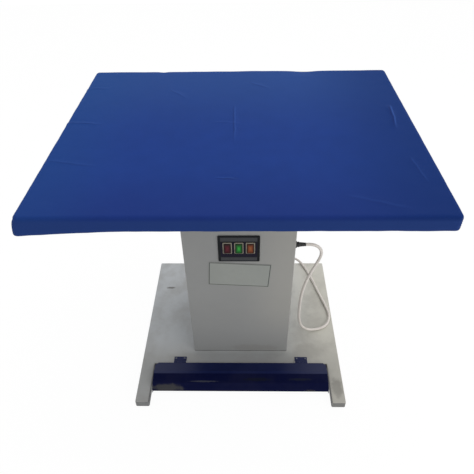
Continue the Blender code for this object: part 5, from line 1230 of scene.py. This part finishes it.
def cover_profile():
    """From the flat top round the edge, down the skirt, and in under the tray."""
    thickness = looks().cover.thickness
    top = COVER_HIGH.z - COVER_SINK
    low = TRAY_FLOOR_Z - FIT_GAP - thickness - HEM_GAP
    middle = CORNER_RADIUS - EDGE_RADIUS
    profile = [(0.0, top, 0.0, 1.0), (middle, top, 0.0, 1.0)]
    for step in range(1, 7):
        angle = 0.5 * math.pi * step / 6
        sine, cosine = math.sin(angle), math.cos(angle)
        profile.append((middle + EDGE_RADIUS * sine, top - EDGE_RADIUS * (1 - cosine), sine, cosine))
    start = top - EDGE_RADIUS
    turn = 0.0025
    for step in range(1, 6):
        profile.append((CORNER_RADIUS, start + (low + turn - start) * step / 5, 1.0, 0.0))
    for step in range(1, 4):
        angle = 0.5 * math.pi * step / 3
        sine, cosine = math.sin(angle), math.cos(angle)
        profile.append((CORNER_RADIUS - turn * (1 - cosine), low + turn * (1 - sine), cosine, -sine))
    inner = CORNER_RADIUS - HEM_TUCK
    for step in range(1, 6):
        profile.append((CORNER_RADIUS - turn + (inner - CORNER_RADIUS + turn) * step / 5, low, 0.0, -0.5))
    return profile


def droop_hem(points):
    """The cloth hangs loose at the front left corner: its hem stands out there and lies lower."""
    points = np.array(points, float)
    beside, before = points[:, 0] - COVER_LOW.x, points[:, 1] - COVER_LOW.y
    along = np.exp(-((beside / DROOP_HEM_X) ** 2))
    front = np.exp(-((before / DROOP_HEM_Y) ** 2))
    corner = np.exp(-((beside / DROOP_CORNER_X) ** 2) - (before / DROOP_CORNER_Y) ** 2)
    low = np.clip((DROOP_TOP_Z - points[:, 2]) / DROOP_HEIGHT, 0, 1)
    share = corner * np.sqrt(low)
    points[:, 0] -= DROOP_OUT * share
    points[:, 1] -= DROOP_FORWARD * share
    points[:, 2] -= DROOP_DOWN * along * front * low
    return points


def dip_back(points, floor, height):
    """The back edge of the pad has two shallow dips. What lies on the floor given stays there."""
    back = np.clip((points[:, 1] - DIP_START_Y) / DIP_REACH, 0, 1)
    share = np.clip((points[:, 2] - floor) / height, 0, 1) * back
    for place, width, depth in BACK_DIPS:
        points[:, 2] -= depth * share * np.exp(-((points[:, 0] - place) / width) ** 2)
    return points


def make_cover():
    """The cotton cover, with its own flat map and the size that it is cut to."""
    sizes = looks().cover
    half_x, half_y = COVER_HIGH.x - CORNER_RADIUS, COVER_HIGH.y - CORNER_RADIUS
    profile = cover_profile()
    points, faces, flat, _ = shell_of_cloth(half_x, half_y, sizes.cell, 10, profile, cover_lift)
    points = dip_back(droop_hem(points), COVER_DIP_FLOOR, COVER_DIP_HEIGHT)
    mesh = mesh_of("ironing_cover", points, faces)
    layer = mesh.uv_layers.new(name="cloth")
    corners = np.zeros(len(mesh.loops), np.int32)
    mesh.loops.foreach_get("vertex_index", corners)
    layer.data.foreach_set("uv", flat[corners].astype(np.float32).ravel())
    piece = add_piece("ironing_cover", mesh, "blue_fabric")
    wall = piece.modifiers.new("cloth thickness", "SOLIDIFY")
    wall.thickness = sizes.thickness
    wall.offset = -1.0
    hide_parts("fabric_cover")


def make_seams():
    """The thread of the four corner seams and of the hem's casing."""
    sizes = looks().cover
    top, low = COVER_HIGH.z, TRAY_FLOOR_Z
    x, y = COVER_HIGH.x, COVER_HIGH.y
    lines = []
    reach = CORNER_RADIUS * (1 - math.sqrt(0.5))
    for side_x in (-1, 1):
        for side_y in (-1, 1):
            for across in (-SEAM_SPREAD, SEAM_SPREAD):
                line = []
                for step in range(8):
                    height = top - EDGE_RADIUS + (low + 0.004 - top + EDGE_RADIUS) * step / 7
                    line.append((side_x * (x - reach + 0.0004) - side_y * across * 0.7,
                                 side_y * (y - reach + 0.0004) + side_x * across * 0.7, height))
                lines.append([tuple(point) for point in droop_hem(line)])
    carrier = curve_along("seam_path", lines)
    length = sizes.stitch_length
    stitch = {"Stitch Length": length, "Pitch": length * 1.25, "Thread Radius": THREAD_RADIUS}
    tree = stitch_tree()
    grown(carrier, tree, stitch, "corner_seam_stitches", "blue_fabric", finish="thread")
    under = low - FIT_GAP - 2 * sizes.thickness - CASING_GAP
    casing = rounded_path(x - CASING_INSET, y - CASING_INSET, 0.006, under, 0.02)
    casing = [tuple(point) for point in droop_hem(casing)]
    carrier = curve_along("casing_path", [casing], closed=True)
    grown(carrier, tree, stitch, "hem_casing_stitches", "blue_fabric", finish="thread")


def rounded_path(half_x, half_y, radius, height, spacing):
    """Points along a rectangle with round corners."""
    points = []
    corners = [(half_x, half_y, 0.0), (-half_x, half_y, 0.5), (-half_x, -half_y, 1.0), (half_x, -half_y, 1.5)]
    for corner_x, corner_y, turn in corners:
        middle_x = corner_x - math.copysign(radius, corner_x)
        middle_y = corner_y - math.copysign(radius, corner_y)
        for step in range(7):
            angle = math.pi * (turn + 0.5 * step / 6)
            points.append((middle_x + radius * math.cos(angle), middle_y + radius * math.sin(angle), height))
    filled = []
    for first, last in zip(points, points[1:] + points[:1]):
        count = max(1, int(math.dist(first, last) / spacing))
        for step in range(count):
            share = step / count
            filled.append(tuple(a + (b - a) * share for a, b in zip(first, last)))
    return filled


def drawstring_tails(low, radius):
    """The knot and the two loose ends of the hem's cord, at the front left corner."""
    x, y, z = low.x + 0.012, low.y + 0.006, low.z - 0.001
    knot = []
    for step in range(29):
        angle = math.tau * 2 * step / 28
        knot.append((
            x + 1.5 * radius * math.cos(angle) + radius * (step / 14 - 1),
            y + 1.3 * radius * math.sin(angle),
            z - 2.2 * radius + 0.9 * radius * math.sin(1.5 * angle),
        ))
    start_z = z - 2.6 * radius
    first = [(x - radius, y, start_z), (x - 0.006, y - 0.004, z - 0.010),
             (x - 0.014, y - 0.006, z - 0.014), (x - 0.020, y - 0.004, z - 0.020)]
    second = [(x + radius, y, start_z), (x + 0.004, y - 0.002, z - 0.011), (x + 0.003, y + 0.001, z - 0.018)]
    return [knot, smoothed(first), smoothed(second)]


def curve_points(knots, steps):
    """Points on a smooth curve through all the knots but the first and the last."""
    fine = []
    for before, start, end, after in zip(knots, knots[1:], knots[2:], knots[3:]):
        for step in range(steps):
            along = step / steps
            square, cube = along**2, along**3
            fine.append(0.5 * (
                2 * start + (end - before) * along + (2 * before - 5 * start + 4 * end - after) * square
                + (3 * start - before - 3 * end + after) * cube
            ))
    return [*fine, knots[-2]]


def smoothed(knots):
    """A smooth curve through a few points, the ends included."""
    points = [Vector(knot) for knot in (knots[0], *knots, knots[-1])]
    return [tuple(point) for point in curve_points(points, TAIL_STEPS)]


def make_hem_cord():
    """The twisted cord in the mouth of the hem."""
    low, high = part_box("hem_cord")
    radius = (high.z - low.z) / 2
    path = rounded_path(high.x - radius, high.y - radius, 0.004, (low.z + high.z) / 2, 0.03)
    carrier = curve_along("hem_path", [path + path[:1], *drawstring_tails(low, radius)])
    sizes = {"Twine Radius": radius, "Twist Pitch": TWIST_PITCH, "Step": 0.0024}
    piece = grown(carrier, twine_tree(), sizes, "twisted_hem_cord", "white_cord", finish="twine")
    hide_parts("hem_cord")


def soft_slab(name, low, high, seed, slot):
    """A layer of the pad: an uneven face, and edges that follow the round of the cover."""
    inset = CORNER_RADIUS - COVER_WALL
    edge = EDGE_RADIUS - COVER_WALL
    top = high.z - PAD_SLACK
    profile = [(0.0, top, 0.0, 1.0)]
    for step in range(6):
        drop = FELT_HIGH.z - top + (top - low.z) * step / 5
        rise = max(edge - drop, 0.0)
        out = inset - edge + math.sqrt(edge**2 - rise**2)
        profile.append((out, FELT_HIGH.z - drop, 0.0, 0.0))

    def lift(anchor, along, run):
        return PAD_WAVE * ripples(anchor, seed, 0.30, 0.08, 7) * (run == 0.0)

    half_x, half_y = COVER_HIGH.x - CORNER_RADIUS, COVER_HIGH.y - CORNER_RADIUS
    points, faces, _, rim_count = shell_of_cloth(half_x, half_y, PAD_CELL, 6, profile, lift)
    points = dip_back(points, low.z, high.z - low.z)
    faces.append(tuple(range(len(points) - 1, len(points) - 1 - rim_count, -1)))
    mesh = mesh_of(name, points, faces)
    piece = add_piece(name, mesh, slot)
    smooth_by_angle(mesh, 50)
    return piece


def make_pad():
    """The felt under the cover, and the foam under the felt."""
    felt = soft_slab("felt_sheet", FELT_LOW, FELT_HIGH, FELT_SEED, "felt")
    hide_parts("felt_layer")
    foam = soft_slab("foam_cushion", FOAM_LOW, FOAM_HIGH, FOAM_SEED, "foam")
    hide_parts("foam_pad")


def make_perforated_sheet():
    """The drilled sheet that the pad lies on."""
    sizes = looks().fitting
    width, depth = SHEET_HIGH.x - SHEET_LOW.x, SHEET_HIGH.y - SHEET_LOW.y
    columns, rows = round(width / sizes.hole_pitch), round(depth / sizes.hole_pitch)
    share = sizes.hole_radius / sizes.hole_pitch
    half = 0.5
    rim = [(-half, -half), (0.0, -half), (half, -half), (half, 0.0),
           (half, half), (0.0, half), (-half, half), (-half, 0.0)]
    hole = [polar(share, math.radians(225 + 45 * step)) for step in range(8)]
    faces = [(step, (step + 1) % 8, 8 + (step + 1) % 8, 8 + step) for step in range(8)]
    tile = mesh_of("tile", [(*point, 0.0) for point in rim + hole], faces)
    carrier = linked("tile_carrier", tile)
    values = {"Width": width, "Depth": depth, "Columns": columns, "Rows": rows}
    piece = grown(carrier, perforation_tree(), values, "drilled_sheet", "zinc")
    for vert in piece.data.vertices:
        vert.co.z = SHEET_HIGH.z
        if abs(vert.co.x) > width / 2 - 0.0001 and abs(vert.co.y) > depth / 2 - 0.0001:
            vert.co.x -= math.copysign(SHEET_CORNER_CUT, vert.co.x)
            vert.co.y -= math.copysign(SHEET_CORNER_CUT, vert.co.y)
    wall = piece.modifiers.new("sheet thickness", "SOLIDIFY")
    wall.thickness = SHEET_HIGH.z - SHEET_LOW.z
    wall.offset = -1.0
    piece.data.polygons.foreach_set("use_smooth", [False] * len(piece.data.polygons))
    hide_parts("perforated_sheet")


# Fasteners

def screw_mesh(shank):
    """A pan head screw with a cross recess, its seat at zero and its head up."""
    radius = looks().fitting.screw_head
    steps = 24
    recess = []
    for step in range(steps):
        angle = math.tau * step / steps
        near = abs((angle + math.pi / 4) % (math.pi / 2) - math.pi / 4)
        reach = radius * (0.55 if near < 0.14 else 0.20)
        recess.append(polar(reach, angle))
    deep = [(x * 0.55, y * 0.55) for x, y in recess]
    sections = [
        (ring_points(0.0012, steps), -shank),
        (ring_points(0.0016, steps), -shank + 0.0008),
        (ring_points(0.0016, steps), 0.0),
        (ring_points(radius * 0.97, steps), 0.0),
        (ring_points(radius, steps), 0.0003),
        (ring_points(radius, steps), 0.0008),
        (ring_points(radius * 0.93, steps), 0.0013),
        (ring_points(radius * 0.78, steps), 0.00168),
        (ring_points(radius * 0.60, steps), SCREW_HEAD_HEIGHT),
        (recess, SCREW_HEAD_HEIGHT),
        (deep, 0.0008),
    ]
    return lofted("screw_shape", sections)


def make_screws():
    """Cross recess screws in the hinge leaves and the back cover."""
    hinge_screws = [f"hinge_screw_{side}_{place}"
                    for side in ("left", "right") for place in ("outer", "inner")]
    groups = [
        ("hinge_screws", hinge_screws, (0.0, 0.0, 1.0), "dull_zinc"),
        ("back_cover_screws", ["cover_screw_left", "cover_screw_right"], (0.0, 1.0, 0.0), "zinc"),
    ]
    tree = fastener_tree()
    for name, nodes, facing, finish in groups:
        boxes = [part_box(node) for node in nodes]
        way = Vector(facing)
        places = []
        for low, high in boxes:
            middle = (low + high) / 2
            tip = Vector([high[axis] if way[axis] > 0.5 else middle[axis] for axis in range(3)])
            places.append(tip - way * SCREW_HEAD_HEIGHT)
        low, high = boxes[0]
        shank = (high - low).dot(way) - SCREW_HEAD_HEIGHT
        shape = linked("screw_source", screw_mesh(shank))
        cloud = mesh_of(f"{name}_places", places, [])
        attribute = cloud.attributes.new("facing", "FLOAT_VECTOR", "POINT")
        attribute.data.foreach_set("vector", [part for _ in places for part in facing])
        spins = cloud.attributes.new("spin", "FLOAT", "POINT")
        spins.data.foreach_set("value", [0.4 + 0.9 * index for index in range(len(places))])
        piece = grown(linked(f"{name}_carrier", cloud), tree, {"Fastener": shape}, name, "zinc",
                      finish=finish)
        bpy.data.objects.remove(shape)
        smooth_by_angle(piece.data, 40)
        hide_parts(*nodes)


# Cord, gland and plug

def smooth_route(knots):
    """Points at an even spacing along a smooth curve through the knots, with a straight run at each end."""
    fine = curve_points(knots, ROUTE_STEPS)
    travelled = [0.0]
    for first, second in zip(fine, fine[1:]):
        travelled.append(travelled[-1] + (second - first).length)
    count = round(travelled[-1] / CORD_SPACING)
    points, index = [knots[0]], 0
    for step in range(count + 1):
        target = travelled[-1] * step / count
        while index < len(fine) - 2 and travelled[index + 1] < target:
            index += 1
        share = (target - travelled[index]) / (travelled[index + 1] - travelled[index])
        points.append(fine[index].lerp(fine[index + 1], share))
    return [*points, knots[-1]]


def coil_points():
    """Two layers of loops, in along the floor and out above, with straight ends along -X."""
    steps = round(COIL_TURNS * COIL_STEPS)
    low = CORD_DIAMETER / 2 + CORD_LIFT
    points = []
    for step in range(2 * steps + 1):
        angle = -math.pi / 2 - math.tau * step / COIL_STEPS
        radius = COIL_INNER + COIL_PITCH * abs(steps - step) / COIL_STEPS
        climb = min(max((step - steps) / COIL_STEPS * 2 + 0.5, 0.0), 1.0)
        x, y = polar(radius, angle)
        points.append(Vector((COIL_MIDDLE[0] + x, COIL_MIDDLE[1] + y, low + COIL_PITCH * climb)))
    lead, tail = Vector((CORD_DIAMETER, 0.0, 0.0)), Vector((COIL_TAIL, 0.0, 0.0))
    return [points[0] + lead, *points, points[-1] - tail]


def cord_line():
    """The middle line of the whole cord, from the gland to the plug."""
    coil = coil_points()
    start = Vector(GLAND_EXIT)
    end = coil[0] + Vector((FIT_GAP, 0.0, 0.0))
    lead = Vector((CORD_DIAMETER, 0.0, 0.0))
    free = smooth_route([start, start + lead, *[Vector(point) for point in CORD_ROUTE], end + lead, end])
    return free[:-2] + coil[1:]


def make_cord():
    """The mains cord, from the gland down to the plate, off its back edge and into a coil."""
    line = cord_line()
    cord = curve_along("mains_cord", [line])
    curve = cord.data
    curve.bevel_depth = CORD_DIAMETER / 2
    curve.bevel_resolution = 5
    curve.use_fill_caps = True
    curve.splines[0].use_smooth = True
    curve.materials.append(finish_of("white_cord"))
    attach(cord, FRAME_BODY)
    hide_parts("power_cord", "cord_coil")
    plug = make_plug()


def squircle(width, height, power, count):
    """An outline between an ellipse and a rectangle."""
    points = []
    for step in range(count):
        angle = math.tau * step / count
        cosine, sine = math.cos(angle), math.sin(angle)
        points.append((width / 2 * math.copysign(abs(cosine) ** (2 / power), cosine),
                       height / 2 * math.copysign(abs(sine) ** (2 / power), sine)))
    return points


def make_plug():
    """The moulded plug: a ribbed neck, a waisted grip and a flat face round the pins."""
    end = coil_points()[-1]
    matrix = Matrix(((0, 0, -1, end.x - FIT_GAP), (-1, 0, 0, end.y), (0, 1, 0, end.z), (0, 0, 0, 1)))
    count = 40
    sections = []
    for index in range(NECK_STEPS + 1):
        share = index / NECK_STEPS
        size = NECK_TIP + (NECK_ROOT - NECK_TIP) * share
        if index % 2 and index < NECK_STEPS - 1:
            size -= NECK_GROOVE
        sections.append((squircle(size, size, 2.3, count), PLUG_NECK * share))
    for share, width, height, power in PLUG_BODY:
        sections.append((squircle(width, height, power, count), PLUG_NECK + PLUG_LENGTH * share))
    mesh = lofted("moulded_plug", sections, matrix)
    piece = add_piece("moulded_plug", mesh, "white_cord")
    smooth_by_angle(piece.data, 50)
    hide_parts("plug_body")
    return piece


def make_gland():
    """The cable gland: a chamfered hexagon, a knurled dome and a ribbed strain relief."""
    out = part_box("pedestal_body")[1].x + FIT_GAP
    middle = (GLAND_LOW + GLAND_HIGH) / 2
    matrix = Matrix(((0, 0, 1, 0), (1, 0, 0, middle.y), (0, 1, 0, middle.z), (0, 0, 0, 1)))
    count = 36
    thin = hexagon_points(HEXAGON_CORNER - HEXAGON_CHAMFER, count)
    full = hexagon_points(HEXAGON_CORNER, count)
    neck = ring_points(GLAND_NECK_RADIUS, count)
    knurl = [(x * (1.0 if step % 3 else 0.94), y * (1.0 if step % 3 else 0.94))
             for step, (x, y) in enumerate(ring_points(DOME_RADIUS, count))]
    sections = [
        (neck, GLAND_LOW.x), (neck, out),
        (thin, out), (full, out + HEXAGON_CHAMFER), (full, out + HEXAGON_SHOULDER), (thin, out + HEXAGON_END),
        (ring_points(DOME_RIM_RADIUS, count), out + DOME_START), (knurl, out + DOME_KNURL_START),
        (knurl, out + DOME_KNURL_END), (ring_points(RELIEF_BASE, count), out + DOME_END),
    ]
    start = out + DOME_END + 0.0002
    for index in range(2 * RELIEF_RIBS + 1):
        share = index / (2 * RELIEF_RIBS)
        radius = RELIEF_BASE + (RELIEF_TIP - RELIEF_BASE) * share - (RELIEF_GROOVE if index % 2 else 0.0)
        sections.append((ring_points(radius, count), start + (GLAND_HIGH.x - start) * share))
    mesh = lofted("strain_relief_gland", sections, matrix)
    piece = add_piece("strain_relief_gland", mesh, "black_plastic")
    smooth_by_angle(piece.data, 32)
    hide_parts("cable_gland")


# Sheet metal, switches and the parts inside

# Nodes with rounded edges, and each one's share of the edge rounding
FORMED = {
    "base_plate": 1.0, "pedestal_body": 1.0, "back_cover": 0.8, "foot_pedal": 1.0, "control_panel": 0.8,
    "name_plate": 0.5, "mains_switch_housing": 1.1, "suction_switch_housing": 1.1,
    "heater_switch_housing": 1.1, "mains_rocker": 1.2, "suction_rocker": 1.2, "heater_rocker": 1.2,
    "hinge_leaf_left": 0.8, "hinge_leaf_right": 0.8, "top_bearer_front": 0.9, "top_bearer_back": 0.9,
}


def form_sheet_metal():
    rounding = looks().paint.edge_round
    for node, share in FORMED.items():
        softened(node, f"{node}_formed", rounding * share)


def finish_frame_nodes():
    """Every frame node that still shows takes the finish of its slot."""
    for name, node in frame["nodes"].items():
        node.data.materials.clear()
        node.data.materials.append(finish_of(SLOT_OF[name]))


# Stage

def make_floor():
    sizes = looks().stage
    half = sizes.floor_size / 2
    body = bmesh.new()
    bmesh.ops.create_grid(body, x_segments=8, y_segments=8, size=half)
    mesh = mesh_from("studio_floor", body)
    floor = linked("studio_floor", mesh)
    material = bpy.data.materials.new("studio_floor_finish")
    material.use_nodes = True
    nodes = Nodes(material.node_tree)
    nodes.tree.nodes.clear()
    colour = (*sizes.floor_colour, 1.0)
    paper = nodes.add("ShaderNodeBsdfPrincipled", {"Base Color": colour, "Roughness": 0.8})
    white = nodes.add("ShaderNodeEmission", {"Color": (1.0, 1.0, 1.0, 1.0), "Strength": WHITE})
    seen = seen_directly(nodes)
    share = nodes.maths("MULTIPLY", seen, FLOOR_WHITE_SHARE)
    mixed = nodes.add("ShaderNodeMixShader", {0: share, 1: paper.outputs[0], 2: white.outputs[0]})
    out = nodes.add("ShaderNodeOutputMaterial")
    nodes.tree.links.new(mixed.outputs[0], out.inputs[0])
    mesh.materials.append(material)


def seen_directly(nodes):
    """One for the rays of the camera, of reflections and through glass, and zero for light on the table."""
    rays = nodes.add("ShaderNodeLightPath").outputs
    seen = nodes.maths("MAXIMUM", rays["Is Camera Ray"], rays["Is Glossy Ray"])
    return nodes.maths("MAXIMUM", seen, rays["Is Transmission Ray"])


def light_stage():
    sizes = looks().stage
    world = bpy.data.worlds.new("studio")
    bpy.context.scene.world = world
    world.use_nodes = True
    nodes = Nodes(world.node_tree)
    nodes.tree.nodes.clear()
    seen = seen_directly(nodes)
    strength = nodes.maths("MULTIPLY_ADD", seen, WHITE - sizes.sky, sizes.sky)
    sky = nodes.add("ShaderNodeBackground", {"Color": (1.0, 1.0, 1.0, 1.0), "Strength": strength})
    out = nodes.add("ShaderNodeOutputWorld")
    nodes.tree.links.new(sky.outputs[0], out.inputs[0])
    for name, place, size, share in LAMPS:
        data = bpy.data.lights.new(name, "AREA")
        data.shape = "SQUARE"
        data.size = size
        data.energy = sizes.lamp * share
        lamp = linked(name, data)
        lamp.location = place
        lamp.rotation_mode = "QUATERNION"
        lamp.rotation_quaternion = (Vector(LAMP_TARGET) - Vector(place)).to_track_quat("-Z", "Y")


def make_camera():
    """The photograph's camera, as fitted to the edges and corners of the top, the base and the pedestal."""
    data = bpy.data.cameras.new("photo_camera")
    camera = linked("photo_camera", data)
    data.sensor_width = SENSOR_WIDTH
    data.lens = SENSOR_WIDTH * FOCAL_PIXELS / PHOTO_WIDTH_PIXELS
    pitch, yaw, roll = CAMERA_PITCH, CAMERA_YAW, CAMERA_ROLL
    ahead = Vector((math.sin(yaw) * math.cos(pitch), math.cos(yaw) * math.cos(pitch), -math.sin(pitch)))
    level = Vector((math.cos(yaw), -math.sin(yaw), 0.0))
    above = level.cross(ahead)
    right = level * math.cos(roll) + above * math.sin(roll)
    up = above * math.cos(roll) - level * math.sin(roll)
    columns = Matrix((right, up, -ahead)).transposed()
    camera.rotation_mode = "QUATERNION"
    camera.rotation_quaternion = columns.to_quaternion()
    camera.location = CAMERA_PLACE
    data.clip_start = 0.02
    bpy.context.scene.camera = camera
    bpy.context.scene.view_settings.view_transform = "Standard"


# Operators

class IRONING_OT_stage(bpy.types.Operator):
    """Adds the floor, the light and the camera"""

    bl_idname = "ironing.stage"
    bl_label = "Stage"

    def execute(self, context):
        make_camera()
        make_floor()
        light_stage()
        return {"FINISHED"}


class IRONING_OT_mains_cord(bpy.types.Operator):
    """Adds the mains cord with its gland and plug"""

    bl_idname = "ironing.mains_cord"
    bl_label = "Mains cord"

    def execute(self, context):
        make_gland()
        make_cord()
        return {"FINISHED"}


class IRONING_OT_pad(bpy.types.Operator):
    """Adds the felt and the foam under the cover"""

    bl_idname = "ironing.pad"
    bl_label = "Pad"

    def execute(self, context):
        make_pad()
        return {"FINISHED"}


class IRONING_OT_drilled_sheet(bpy.types.Operator):
    """Adds the drilled sheet under the pad"""

    bl_idname = "ironing.drilled_sheet"
    bl_label = "Drilled sheet"

    def execute(self, context):
        make_perforated_sheet()
        return {"FINISHED"}


class IRONING_OT_cover(bpy.types.Operator):
    """Adds the cotton cover with its seams and the cord in its hem"""

    bl_idname = "ironing.cover"
    bl_label = "Cover"

    def execute(self, context):
        make_cover()
        make_seams()
        make_hem_cord()
        return {"FINISHED"}


class IRONING_OT_screws(bpy.types.Operator):
    """Adds the screws of the hinges and the back cover"""

    bl_idname = "ironing.screws"
    bl_label = "Screws"

    def execute(self, context):
        make_screws()
        return {"FINISHED"}


class IRONING_OT_sheet_metal(bpy.types.Operator):
    """Rounds the sheet metal and the switches, and finishes every node of the frame"""

    bl_idname = "ironing.sheet_metal"
    bl_label = "Sheet metal and switches"

    def execute(self, context):
        form_sheet_metal()
        finish_frame_nodes()
        return {"FINISHED"}


class IRONING_PT_looks(bpy.types.Panel):
    """Lists the table's pieces and their settings"""

    bl_label = "Ironing table"
    bl_idname = "IRONING_PT_looks"
    bl_space_type = "VIEW_3D"
    bl_region_type = "UI"
    bl_category = "Ironing table"

    def draw(self, context):
        settings = context.scene.ironing_table
        for title in ("cover", "paint", "fitting", "stage"):
            group = getattr(settings, title)
            box = self.layout.box()
            box.label(text=title.capitalize())
            for name in group.__annotations__:
                box.prop(group, name)
        for operator in OPERATORS:
            self.layout.operator(operator.bl_idname)


OPERATORS = (
    IRONING_OT_stage, IRONING_OT_mains_cord, IRONING_OT_pad, IRONING_OT_drilled_sheet, IRONING_OT_cover,
    IRONING_OT_screws, IRONING_OT_sheet_metal,
)
CLASSES = (
    CoverSettings, PaintSettings, FittingSettings, StageSettings, TableLooks, *OPERATORS, IRONING_PT_looks,
)


def register():
    for item in CLASSES:
        bpy.utils.register_class(item)
    bpy.types.Scene.ironing_table = bpy.props.PointerProperty(type=TableLooks)


def unregister():
    del bpy.types.Scene.ironing_table
    for item in reversed(CLASSES):
        bpy.utils.unregister_class(item)


def main():
    register()
    for operator in OPERATORS:
        group, name = operator.bl_idname.split(".")
        getattr(getattr(bpy.ops, group), name)()


if __name__ == "__main__":
    main()
